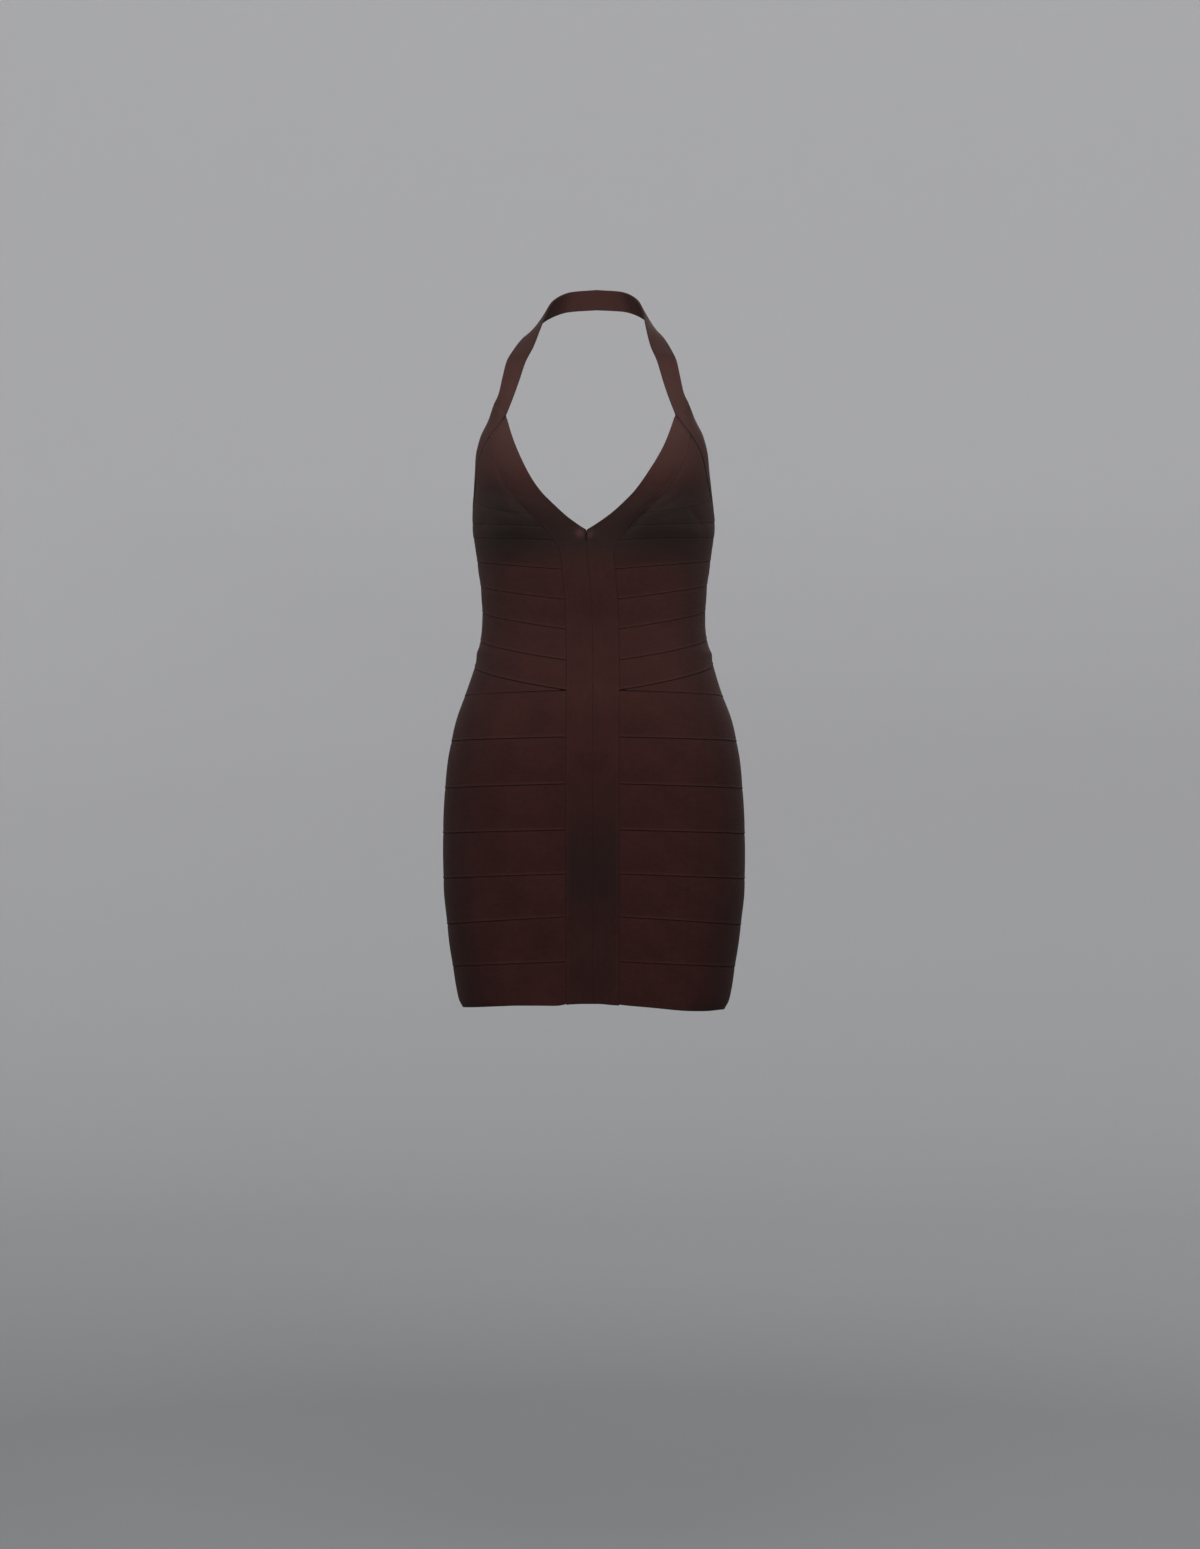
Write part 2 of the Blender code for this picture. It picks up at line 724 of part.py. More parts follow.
def build_strap() -> None:
    """Make the halter strap, one strip from underarm to underarm round the neck."""
    heights = strap_seam_heights()
    sewn = evened(np.array([armhole_row(z) for z in heights[:-1]] + [underarm_row(heights[-1])]))
    raised = np.tile([crown(share) for share in STRAP_SHARES], (len(sewn), 1))
    outer, inner = on_form(sewn, raised)
    free = free_strap_rows(outer[0])
    for i in range(len(free) - 1, -1, -1):
        before = [flipped(p) for p in free[1]] if i == 0 else free[i - 1]
        after = free[i + 1] if i + 1 < len(free) else outer[0]
        across = free[i][-1] - free[i][0]
        normals = [(b - a).cross(across).normalized() for a, b in zip(before, after)]
        inner.insert(0, [p - n * WALL for p, n in zip(free[i], normals)])
        outer.insert(0, [p + n * crown(s) for p, n, s in zip(free[i], normals, STRAP_SHARES)])
    faces = []
    for half in (outer, inner):
        other_half = [[flipped(p) for p in row] for row in reversed(half[1:])]
        faces.append(other_half + half)
    wall_object("halter_strap", *faces)


def free_strap_rows(first_sewn: List[Vector]) -> Grid:
    """Place the rows of the strap from the nape down to where it meets the dress.

    Args:
        first_sewn: the first row that is sewn to the dress, which the free rows run into.

    Returns:
        The rows, each with its points from the upper edge to the lower.
    """
    rows = [list(station) for station in STRAP_STATIONS]
    rows.append([*first_sewn[0], *first_sewn[-1]])
    places = list(range(len(rows)))
    edges = [smooth_curve(places, [row[c] for row in rows]) for c in range(6)]
    free: Grid = []
    for k in range(STRAP_STEPS * len(STRAP_STATIONS)):
        values = [edge(k / STRAP_STEPS) for edge in edges]
        upper = Vector(values[:3])
        lower = Vector(values[3:])
        free.append([upper.lerp(lower, share) for share in STRAP_SHARES])
    return free


def main() -> None:
    """Clear the scene and make every piece."""
    for thing in list(bpy.data.objects):
        bpy.data.objects.remove(thing, do_unlink=True)
    for band in RING_BANDS:
        build_ring_band(band)
    build_bust_pair("upper_bust_band", SEAMS["under_cup_top"], ARC_Z, BAND_ROWS, 1.0)
    build_bust_pair("cup", ARC_Z, cup_top, CUP_ROWS, 0.0)
    build_front_bands()
    build_strap()


main()
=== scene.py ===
"""Halter bodycon dress of narrow ribbed bands: its finished knit, seams, stitches and light.

Units are metres, +Z is up and the front faces -Y. The origin is where the halter strap rests on
the back of the neck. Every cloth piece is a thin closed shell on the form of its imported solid.
"""

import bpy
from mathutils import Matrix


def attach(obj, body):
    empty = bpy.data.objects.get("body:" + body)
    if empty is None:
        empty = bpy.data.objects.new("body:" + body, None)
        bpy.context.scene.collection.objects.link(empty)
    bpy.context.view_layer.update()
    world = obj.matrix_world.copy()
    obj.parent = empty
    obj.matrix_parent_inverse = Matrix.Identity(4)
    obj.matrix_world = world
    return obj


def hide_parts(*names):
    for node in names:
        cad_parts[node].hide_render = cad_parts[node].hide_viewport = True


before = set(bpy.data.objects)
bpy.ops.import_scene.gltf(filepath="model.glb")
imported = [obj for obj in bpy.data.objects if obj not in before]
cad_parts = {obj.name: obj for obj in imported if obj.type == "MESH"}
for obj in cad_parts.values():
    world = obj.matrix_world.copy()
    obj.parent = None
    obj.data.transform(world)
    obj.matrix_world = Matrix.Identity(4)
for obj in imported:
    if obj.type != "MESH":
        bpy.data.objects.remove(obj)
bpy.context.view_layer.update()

import logging
import math
from dataclasses import dataclass
from enum import Enum
from typing import NamedTuple, Sequence

import bpy
import numpy as np
from mathutils import Vector

LOG = logging.getLogger("halter_dress")
BODY = "root"
MM = 0.001
Array = np.ndarray

WALL = 0.0020  # thickness of the ribbed cloth
THINNEST = 0.15 * MM  # what is left of it where a border rolls away
CROWN = 0.0005  # how much further the middle of a band stands out than its edges
SEAM_GAP = 0.0003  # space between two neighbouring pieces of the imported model
AXIS_Y = -0.055  # the upright axis of the body, in front of the nape
STRAP_WIDTH = 0.0220
FRONT_BAND_WIDTH = 0.0274  # each of the two upright bands at the centre front
CUP_TOP_Z = -0.1625
NECK_BAND_TOP_Z = -0.1385  # where the neck band's inner corner meets the strap
NECK_SEAM_TOP_Z = -0.1597  # the same for its outer corner
POINT_OF_V_Z = -0.2598
WEDGE_TIP = 0.04  # share of the front quarter that the hip wedge leaves bare at each end
HALF_ROUND = 0.42  # about half the way round the hips
BACK_SHARE = 2.0  # the share round the body at the centre back, where 1 is the side
STRETCH = 1.08  # how much longer the worn knit is than its cut
TINY = 1e-12  # keeps a direction of no length from being divided by nothing


def eased(share: Array) -> Array:
    """Turn a share into one that leaves 0 and reaches 1 softly."""
    held = np.clip(share, 0.0, 1.0)
    return held * held * (3 - 2 * held)


def bell(distance: Array, reach: float) -> Array:
    """Give 1 at no distance, falling away softly within the reach."""
    return np.exp(-((distance / reach) ** 2))


def lengths(vectors: Array) -> Array:
    """Give the length of each vector in the last axis, kept as a column."""
    return np.linalg.norm(vectors, axis=-1, keepdims=True)


def running(steps: Array) -> Array:
    """Add up steps into distances from the first point."""
    return np.concatenate(([0.0], np.cumsum(steps)))


def quads(*corners: Array) -> Array:
    """Join the four corners of each face, given as four grids of point numbers, into one list."""
    return np.stack(corners, axis=-1).reshape(-1, 4)


@dataclass(frozen=True)
class SmoothTable:
    """A curve through the points of a short table that never overshoots them."""

    places: Array
    values: Array
    grads: Array

    @classmethod
    def of(cls, *points: tuple[float, float], unit: float = 1.0) -> "SmoothTable":
        """Make the curve.

        Args:
            points: where each point is, and its value there.
            unit: what the values are given in.

        Returns:
            The curve, straight beyond both ends.
        """
        xs, ys = np.array(sorted(points), float).T
        ys = ys * unit
        gaps = np.diff(xs)
        slopes = np.diff(ys) / gaps
        grads = np.zeros(len(xs))
        grads[0] = slopes[0]
        grads[-1] = slopes[-1]
        heavy = 2 * gaps[1:] + gaps[:-1]
        light = gaps[1:] + 2 * gaps[:-1]
        steady = slopes[:-1] * slopes[1:] > 0
        before = np.where(steady, slopes[:-1], 1.0)
        after = np.where(steady, slopes[1:], 1.0)
        grads[1:-1] = np.where(steady, (heavy + light) / (heavy / before + light / after), 0.0)
        return cls(xs, ys, grads)

    def __call__(self, place: float | Array) -> Array:
        """Read the curve.

        Args:
            place: one or many places.

        Returns:
            The values there.
        """
        xs, ys, grads = self.places, self.values, self.grads
        at = np.asarray(place, float)
        i = np.clip(np.searchsorted(xs, at) - 1, 0, len(xs) - 2)
        gap = xs[i + 1] - xs[i]
        t = (at - xs[i]) / gap
        rise = t * t * (3 - 2 * t)
        bend = gap * (grads[i] * t * (1 - t) ** 2 + grads[i + 1] * t * t * (t - 1))
        inside = ys[i] + (ys[i + 1] - ys[i]) * rise + bend
        below = ys[0] + grads[0] * (at - xs[0])
        above = ys[-1] + grads[-1] * (at - xs[-1])
        return np.where(at <= xs[0], below, np.where(at >= xs[-1], above, inside))


class Section(NamedTuple):
    """One level cut through the worn dress, measured from the body axis to the outer face."""

    z: float
    half_width: float
    side_forward: float
    front: float
    back: float
    squareness: float


SECTIONS = tuple(Section(*row) for row in (
    (-0.1200, 0.1035, 0.050, 0.0830, 0.0600, 2.60),
    (-0.1385, 0.1075, 0.048, 0.0855, 0.0600, 2.60),
    (-0.1600, 0.1170, 0.046, 0.0900, 0.0700, 2.60),
    (-0.1800, 0.1220, 0.042, 0.0930, 0.0800, 2.60),
    (-0.1965, 0.1232, 0.036, 0.0955, 0.0830, 2.55),
    (-0.2150, 0.1247, 0.022, 0.0975, 0.0870, 2.50),
    (-0.2320, 0.1268, 0.010, 0.0985, 0.0900, 2.45),
    (-0.2460, 0.1282, 0.002, 0.0990, 0.0920, 2.40),
    (-0.2570, 0.1278, 0.000, 0.0990, 0.0915, 2.40),
    (-0.2740, 0.1250, 0.000, 0.0985, 0.0890, 2.35),
    (-0.2950, 0.1223, 0.000, 0.0965, 0.0850, 2.30),
    (-0.3160, 0.1197, 0.000, 0.0930, 0.0810, 2.30),
    (-0.3380, 0.1185, 0.000, 0.0895, 0.0775, 2.25),
    (-0.3520, 0.1182, 0.000, 0.0875, 0.0765, 2.25),
    (-0.3700, 0.1202, 0.000, 0.0870, 0.0785, 2.25),
    (-0.3910, 0.1250, 0.000, 0.0890, 0.0835, 2.25),
    (-0.4120, 0.1309, 0.000, 0.0925, 0.0905, 2.28),
    (-0.4335, 0.1388, 0.000, 0.0965, 0.0985, 2.30),
    (-0.4545, 0.1457, 0.000, 0.0995, 0.1065, 2.30),
    (-0.4760, 0.1511, 0.000, 0.1010, 0.1135, 2.30),
    (-0.4970, 0.1550, 0.000, 0.1020, 0.1190, 2.30),
    (-0.5185, 0.1571, 0.000, 0.1025, 0.1225, 2.30),
    (-0.5400, 0.1586, 0.000, 0.1025, 0.1245, 2.30),
    (-0.5820, 0.1602, 0.000, 0.1020, 0.1250, 2.32),
    (-0.6250, 0.1597, 0.000, 0.1010, 0.1225, 2.35),
    (-0.6675, 0.1566, 0.000, 0.0995, 0.1185, 2.35),
    (-0.6990, 0.1522, 0.000, 0.0975, 0.1155, 2.35),
    (-0.7310, 0.1475, 0.000, 0.0955, 0.1125, 2.35),
    (-0.7680, 0.1400, 0.000, 0.0930, 0.1095, 2.35),
))

# height, and how far the edge of the V is from the centre plane
NECKLINE = SmoothTable.of(
    (NECK_BAND_TOP_Z, 0.0885), (-0.1550, 0.0832), (-0.1700, 0.0775), (-0.1950, 0.0650), (-0.2200, 0.0485),
    (-0.2327, 0.0360), (-0.2450, 0.0220), (-0.2548, 0.0080), (POINT_OF_V_Z, 0.0000),
)
# the same for the outer seam of the neck band and of the front band that it runs on into
BAND_SEAM = SmoothTable.of(
    (NECK_SEAM_TOP_Z, 0.1045), (-0.1697, 0.1022), (-0.1810, 0.1000), (-0.1985, 0.0935), (-0.2110, 0.0865),
    (-0.2191, 0.0812), (-0.2270, 0.0742), (-0.2437, 0.0585), (-0.2552, 0.0465), (-0.2668, 0.0362),
    (-0.2760, 0.0302), (-0.2860, FRONT_BAND_WIDTH), (-0.8000, FRONT_BAND_WIDTH),
)
# height, and the angle of the seam between cup and strap round the section, in degrees
ARM_SEAM = SmoothTable.of(
    (-0.1200, 44.4), (-0.1385, 51.6), (-0.1597, 60.6), (-0.1735, 66.6), (-0.1805, 69.6), (-0.1965, 75.4),
    (-0.2150, 80.4), (-0.2320, 83.9), (-0.2460, 86.2), (-0.2600, 88.0),
)
# share of the way to the side, and the height of the seam under the cup
CUP_ARC = SmoothTable.of(
    (0.00, -0.2440), (0.25, -0.2385), (0.50, -0.2310), (0.75, -0.2220), (1.00, -0.2105),
)
# a row across the neck band: its height on the outer seam, and on the neckline
ROW_SLANT = SmoothTable.of(
    (NECK_SEAM_TOP_Z, NECK_BAND_TOP_Z), (-0.1870, -0.1705), (-0.2175, -0.2040), (-0.2440, -0.2300),
    (-0.2695, -0.2545), (-0.2775, -0.2598), (-0.2850, -0.2700), (-0.3002, -0.2925), (-0.3156, -0.3130),
    (-0.3310, -0.3310), (-0.8000, -0.8000),
)
# height, and how far the front is drawn round toward +X there as the dress is worn
TWIST = SmoothTable.of(
    (-0.8000, 3.2), (-0.4360, 3.4), (-0.3380, 1.9), (-0.3000, -1.0), (-0.2680, -3.2), (-0.2500, -2.4),
    (-0.2350, -1.4), (-0.2050, -1.0), (-0.1700, 0.0), (-0.1000, 0.0), unit=MM,
)
# distance round from the centre front, and how far the hem hangs below its level there
DROOP = SmoothTable.of(
    (-0.450, 1.0), (-0.250, 1.0), (-0.140, 1.3), (-0.090, 1.1), (-0.055, 2.6), (-0.036, 3.8), (-0.024, 1.7),
    (-0.010, 0.7), (0.005, 0.6), (0.020, 2.2), (0.035, 3.4), (0.060, 4.2), (0.100, 5.6), (0.125, 5.0),
    (0.160, 3.0), (0.300, 1.0), (0.450, 1.0), unit=MM,
)
# height, and how much painted shade darkens the centre front between the legs
LEG_SHADE = SmoothTable.of(
    (-0.480, 0.0), (-0.500, 0.0), (-0.517, 0.08), (-0.530, 0.34), (-0.550, 0.42), (-0.565, 0.60),
    (-0.582, 0.88), (-0.602, 0.98), (-0.625, 1.0), (-0.642, 0.88), (-0.658, 0.56), (-0.680, 0.46),
    (-0.702, 0.46), (-0.718, 0.56), (-0.734, 0.42), (-0.760, 0.30),
)
# height, and how much painted shade darkens the knit under the bust
BUST_SHADE = SmoothTable.of(
    (-0.330, 0.0), (-0.304, 0.04), (-0.291, 0.32), (-0.277, 0.75), (-0.260, 1.0), (-0.240, 1.0),
    (-0.227, 0.80), (-0.214, 0.45), (-0.200, 0.05), (-0.180, 0.0),
)
# height, and how much painted light lifts the knit, most on the upper chest and strap where light falls from
# above
PAINTED_LIGHT = SmoothTable.of(
    (-0.540, 0.0), (-0.480, 0.05), (-0.430, 0.11), (-0.360, 0.15), (-0.305, 0.15), (-0.285, 0.08),
    (-0.270, 0.0), (-0.230, 0.0), (-0.215, 0.04), (-0.202, 0.26), (-0.188, 0.50), (-0.170, 0.66),
    (-0.150, 0.88), (-0.120, 0.88), (-0.090, 0.66), (-0.050, 0.60),
)


def hermite(t: Array, low: float, high: float, leaving: float, reaching: float) -> Array:
    """Run from one height to another with set slopes at both ends."""
    ease = t * t * (3 - 2 * t)
    return low + (high - low) * ease + leaving * t * (1 - t) ** 2 + reaching * t * t * (t - 1)


@dataclass(frozen=True)
class Seam:
    """A seam round the body: its heights, how strongly it shows and where it starts."""

    front_z: float
    side_z: float
    firmness: float = 1.0
    first_share: float = 0.0
    front_slope: float = 0.80  # its slope where it leaves the front band, as a share of its rise
    side_slope: float = 0.90  # the same at the side
    back_rise: float = -0.25  # how far it has gone by the centre back, measured from the side

    def __call__(self, share: float | Array) -> Array:
        """Give the height of the seam.

        Args:
            share: how far round: 0 is the front band, 1 the side and 2 the centre back.

        Returns:
            The heights.
        """
        rise = self.side_z - self.front_z
        slope = self.side_slope * rise
        at = np.asarray(share, float)
        front = hermite(at, self.front_z, self.side_z, self.front_slope * rise, slope)
        behind = hermite(at - 1.0, self.side_z, self.side_z + self.back_rise * rise, slope, 0.0)
        return np.where(at <= 1.0, front, behind)


SEAMS = (
    Seam(-0.2565, -0.2455, 0.40),  # over the under-cup band
    Seam(-0.2705, -0.2612, 0.45),  # under it, and from here on under each bodice band
    Seam(-0.3002, -0.2856, 0.75),
    Seam(-0.3310, -0.3106, 0.80),
    Seam(-0.3618, -0.3382, 0.80),
    Seam(-0.3940, -0.3680, 0.90),
    Seam(-0.4253, -0.3951, 1.20),
    Seam(-0.4258, -0.4303, 0.70, WEDGE_TIP),  # under the hip wedge, and then under each skirt band
    Seam(-0.4740, -0.4779),
    Seam(-0.5225, -0.5279),
    Seam(-0.5700, -0.5755),
    Seam(-0.6155, -0.6233),
    Seam(-0.6599, -0.6726),
    Seam(-0.7065, -0.7164),
    Seam(-0.7487, -0.7600),
)
UNDER_CUP_TOP, HEM = SEAMS[0], SEAMS[-1]
RING_NAMES = (
    "under_cup_band", *(f"bodice_band_{k}" for k in range(1, 6)),
    "hip_wedge_band", *(f"skirt_band_{k}" for k in range(1, 8)),
)
# how strongly the other seams show
FRONT_BAND_FIRMNESS = 0.55
NECK_BAND_FIRMNESS = 0.35
CUP_FIRMNESS = 0.35
STRAP_FIRMNESS = 1.8
CENTRE_FIRMNESS = 0.4


class StrapStation(NamedTuple):
    """A row across the free part of the halter strap, from the nape down the chest."""

    upper_x: float
    upper_y: float
    upper_z: float
    lower_x: float
    lower_y: float
    lower_z: float


STRAP_STATIONS = tuple(StrapStation(*row) for row in (
    (0.0000, 0.0010, 0.0110, 0.0000, 0.0030, -0.0108),
    (0.0270, -0.0060, 0.0080, 0.0302, -0.0015, -0.0132),
    (0.0458, -0.0245, -0.0040, 0.0535, -0.0220, -0.0243),
    (0.0535, -0.0480, -0.0235, 0.0670, -0.0520, -0.0410),
    (0.0565, -0.0740, -0.0400, 0.0752, -0.0785, -0.0520),
    (0.0612, -0.0975, -0.0600, 0.0832, -0.0965, -0.0660),
    (0.0690, -0.1145, -0.0800, 0.0892, -0.1100, -0.0795),
    (0.0757, -0.1225, -0.1020, 0.0932, -0.1152, -0.0970),
    (0.0820, -0.1270, -0.1200, 0.0972, -0.1168, -0.1145),
))


class Crease(NamedTuple):
    """A soft trough, or a ridge where its depth is negative, from one place to another.

    Sideways places are metres from the centre front, or from the centre back on the back half.
    Depth, width and bow, which is how far its middle is off the straight line, are millimetres.
    """

    start_s: float
    start_z: float
    end_s: float
    end_z: float
    depth: float
    width: float
    bow: float


FRONT_CREASES = tuple(Crease(*row) for row in (
    # soft drag lines over the bust: one along each neck band's seam, shorter ones that fan from it
    (-0.104, -0.188, -0.044, -0.262, 1.4, 4.5, -3.0),
    (0.104, -0.186, 0.038, -0.266, 1.5, 4.5, 3.0),
    (-0.128, -0.214, -0.084, -0.227, 0.9, 3.1, 1.0),
    (-0.090, -0.222, -0.056, -0.246, 1.3, 3.2, -1.0),
    (-0.112, -0.238, -0.060, -0.250, 0.9, 3.0, 1.5),
    (0.122, -0.219, 0.064, -0.245, 1.1, 3.2, -1.5),
    (0.096, -0.217, 0.058, -0.238, 1.3, 3.1, 1.0),
    (0.076, -0.226, 0.034, -0.271, 1.2, 3.2, 1.5),
    (0.052, -0.251, 0.118, -0.238, 0.7, 3.4, -1.5),
    # the dimple under the left-hand arm of the wearer and the pull that runs from it
    (0.112, -0.238, 0.139, -0.252, 1.5, 5.0, 1.0),
    (0.100, -0.257, 0.134, -0.262, -0.7, 5.0, 0.0),
    (-0.146, -0.256, -0.112, -0.247, 0.8, 4.5, 0.0),
    # the edge of a waist band stands out at each side
    (0.115, -0.3850, 0.225, -0.3850, -1.3, 4.5, 0.0),
    (-0.115, -0.3840, -0.225, -0.3840, -1.1, 4.5, 0.0),
    # light pulls across the waist
    (-0.132, -0.352, -0.052, -0.372, 0.35, 5.5, -2.0),
    (0.046, -0.366, 0.130, -0.344, 0.40, 5.0, -2.0),
    (-0.120, -0.330, -0.060, -0.339, 0.30, 4.5, 1.0),
    # soft hollows that run down from the front of the hips
    (-0.100, -0.455, -0.052, -0.560, 0.7, 16.0, -6.0),
    (0.104, -0.460, 0.054, -0.566, 0.7, 15.0, 6.0),
    # the hollow between the legs, and the soft folds that leave it near the hem
    (0.001, -0.500, -0.001, -0.790, 3.0, 24.0, 0.0),
    (-0.060, -0.700, -0.014, -0.664, 0.5, 6.0, 2.0),
    (0.016, -0.672, 0.070, -0.712, 0.5, 6.5, 2.0),
    # the point of the V: a stitched notch between two small raised dimples
    (0.0, -0.2540, 0.0, -0.2760, 2.0, 1.9, 0.0),
    (-0.0130, -0.2610, -0.0035, -0.2735, -1.5, 2.6, 0.0),
    (0.0040, -0.2605, 0.0120, -0.2720, -1.3, 2.5, 0.0),
))
BACK_CREASES = tuple(Crease(*row) for row in (
    # gathers of ease at the small of the back, uneven as the knit settles there
    (-0.088, -0.336, 0.060, -0.344, 1.0, 5.0, 4.0),
    (-0.050, -0.361, 0.096, -0.354, 1.2, 5.5, -4.0),
    (-0.100, -0.383, 0.030, -0.377, 0.9, 5.0, 3.0),
    (0.004, -0.394, 0.104, -0.401, 0.7, 5.0, -2.0),
    (-0.070, -0.318, 0.020, -0.314, 0.6, 4.5, 2.0),
    # pulls across the seat and a long hollow at the centre back under it
    (-0.150, -0.486, -0.036, -0.520, 0.6, 9.0, -5.0),
    (0.040, -0.526, 0.146, -0.490, 0.6, 8.0, -4.0),
    (0.002, -0.600, -0.002, -0.780, 2.2, 26.0, 0.0),
    (-0.120, -0.640, -0.030, -0.622, 0.6, 8.0, -4.0),
    (0.028, -0.628, 0.112, -0.650, 0.5, 7.0, -3.0),
    # where the band along the top of the back eases between the straps' ends
    (-0.070, -0.252, -0.020, -0.246, 0.5, 5.0, 1.0),
    (0.024, -0.247, 0.082, -0.254, 0.5, 5.0, 1.0),
))


class Wave(NamedTuple):
    """One slow wave in the cloth: crests along a slant so many metres apart, and its height in mm."""

    length_s: float
    length_z: float
    phase: float
    height: float


SETTLING = (
    Wave(0.093, 0.310, 0.4, 0.14), Wave(-0.061, 0.170, 2.1, 0.10),
    Wave(0.210, -0.083, 4.4, 0.16), Wave(0.137, 0.057, 5.3, 0.09),
)
PUCKER = (
    Wave(0.0117, 0.090, 0.9, 0.060), Wave(0.0073, -0.050, 3.7, 0.045), Wave(0.0191, 0.140, 1.8, 0.070),
)


class Line(Enum):
    """The lines up the form that pieces are laid between."""

    NECK = "edge of the V"
    SEAM = "outer seam of the neck and front band"
    ARM = "seam between cup and strap"
    SIDE = "side of the body"
    BACK = "centre back"


@dataclass(frozen=True)
class CupShape:
    """The soft forward swell of one cup over the level sections."""

    apex_x: float = 0.082
    apex_z: float = -0.236
    forward: float = 0.028
    reach_x: float = 0.052
    reach_up: float = 0.052
    reach_down: float = 0.038


@dataclass
class WornForm:
    """The outer face of the worn dress, read at a distance walked round it and a height.

    The walk starts at the centre front and is negative on the -X side.
    """

    cup: CupShape = CupShape()
    lowest: float = -0.8000
    highest: float = -0.1100
    level_step: float = 0.0005
    turn_samples: int = 721
    walk_samples: int = 481
    facing_step: float = 0.0015
    twist_from: float = 0.04  # the front is drawn round in full up to here, then less and less
    twist_reach: float = 0.12
    droop_from: float = -0.7150  # the hem hangs lower from here down
    droop_reach: float = 0.045
    narrowest: float = 1.0 * MM  # the least way to the side that a share is taken of

    def __post_init__(self) -> None:
        """Cut the form into levels and find the lines on it that the pieces follow."""
        count = int(round((self.highest - self.lowest) / self.level_step)) + 1
        self.levels = np.linspace(self.lowest, self.highest, count)
        turn = np.linspace(0.0, math.pi, self.turn_samples)
        walked, sideways, forward = self._cut(turn)
        quarter = self.turn_samples // 2 + 1
        arm_turn = np.radians(ARM_SEAM(self.levels))
        edges = {Line.SEAM: BAND_SEAM(self.levels), Line.NECK: np.maximum(NECKLINE(self.levels), 0.0)}
        share = np.linspace(0.0, 1.0, self.walk_samples)
        self.sideways = np.zeros((count, self.walk_samples))
        self.forward = np.zeros((count, self.walk_samples))
        self.lines = {line: np.zeros(count) for line in Line}
        for k in range(count):
            at = share * walked[k, -1]
            self.sideways[k] = np.interp(at, walked[k], sideways[k])
            self.forward[k] = np.interp(at, walked[k], forward[k])
            self.lines[Line.ARM][k] = np.interp(arm_turn[k], turn, walked[k])
            for line, x in edges.items():
                self.lines[line][k] = np.interp(x[k], sideways[k, :quarter], walked[k, :quarter])
        self.lines[Line.SIDE] = walked[:, quarter - 1]
        self.lines[Line.BACK] = walked[:, -1]

    def _cut(self, turn: Array) -> tuple[Array, Array, Array]:
        """Cut the right half of the form at every level.

        Args:
            turn: the angles round each cut, from centre front to centre back.

        Returns:
            Distance walked, sideways distance and forward distance, each levels by angles.
        """
        z = self.levels[:, None]
        half_width, lean, front, back, squareness = (
            SmoothTable.of(*((row.z, row[k]) for row in SECTIONS))(z) for k in range(1, len(SECTIONS[0]))
        )
        power = 2.0 / squareness
        cosine = np.cos(turn)[None, :]
        sideways = half_width * np.abs(np.sin(turn))[None, :] ** power
        reach = np.where(cosine > 0, front - lean, back + lean)
        forward = lean + np.sign(cosine) * reach * np.abs(cosine) ** power
        cup = self.cup
        reach_z = np.where(z > cup.apex_z, cup.reach_up, cup.reach_down)
        off_apex = ((sideways - cup.apex_x) / cup.reach_x) ** 2 + ((z - cup.apex_z) / reach_z) ** 2
        frontal = np.clip((forward - lean) / (front - lean), 0.0, 1.0)
        forward = forward + cup.forward * np.exp(-off_apex) * np.sqrt(frontal)
        steps = np.hypot(np.diff(sideways, axis=1), np.diff(forward, axis=1))
        walked = np.concatenate((np.zeros((len(z), 1)), np.cumsum(steps, axis=1)), axis=1)
        return walked, sideways, forward

    def line(self, line: Line, z: Array) -> Array:
        """Read how far round a line is at some heights."""
        return np.interp(z, self.levels, self.lines[line])

    def place(self, walk: Array, z: Array) -> Array:
        """Give points on the outer face.

        Args:
            walk: distances round the body from the centre front, negative on the -X side.
            z: heights, of the same shape.

        Returns:
            The points, with x, y and z in a new last axis.
        """
        drawn = 1.0 - eased((np.abs(walk) - self.twist_from) / self.twist_reach)
        drop = DROOP(walk) * eased((self.droop_from - z) / self.droop_reach)
        walk = walk + TWIST(z) * drawn
        level = (z - self.lowest) / self.level_step
        i = np.clip(level.astype(int), 0, len(self.levels) - 2)
        up = level - i
        half_round = self.line(Line.BACK, z)
        at = np.clip(np.abs(walk) / half_round, 0.0, 1.0) * (self.walk_samples - 1)
        j = np.minimum(at.astype(int), self.walk_samples - 2)
        along = at - j
        read = []
        for cut in (self.sideways, self.forward):
            low = cut[i, j] * (1 - along) + cut[i, j + 1] * along
            high = cut[i + 1, j] * (1 - along) + cut[i + 1, j + 1] * along
            read.append(low * (1 - up) + high * up)
        x = read[0] - np.maximum(np.abs(walk) - half_round, 0.0)
        return np.stack((np.where(walk < 0, -x, x), AXIS_Y - read[1], z - drop), axis=-1)

    def facing(self, walk: Array, z: Array) -> Array:
        """Give the direction straight out of the dress.

        Args:
            walk: signed distances round the body.
            z: heights, of the same shape.

        Returns:
            Unit vectors in a new last axis.
        """
        step = self.facing_step
        right = np.abs(walk)
        along = self.place(right + step, z) - self.place(right - step, z)
        up = self.place(right, z + step) - self.place(right, z - step)
        out = np.cross(along, up)
        out /= lengths(out)
        out[..., 0] *= np.where(walk < 0, -1.0, 1.0)
        return out

    def share_walk(self, share: Array, z: Array) -> Array:
        """Turn a share round the body (0 front band, 1 side, 2 centre back) into a walk."""
        front, side, back = (self.line(line, z) for line in (Line.SEAM, Line.SIDE, Line.BACK))
        return np.where(share <= 1.0, front + share * (side - front), side + (share - 1.0) * (back - side))

    def share_at(self, walk: Array, z: Array) -> Array:
        """Turn a walk on the front into a share of the way to the side."""
        front = self.line(Line.SEAM, z)
        return (walk - front) / np.maximum(self.line(Line.SIDE, z) - front, self.narrowest)


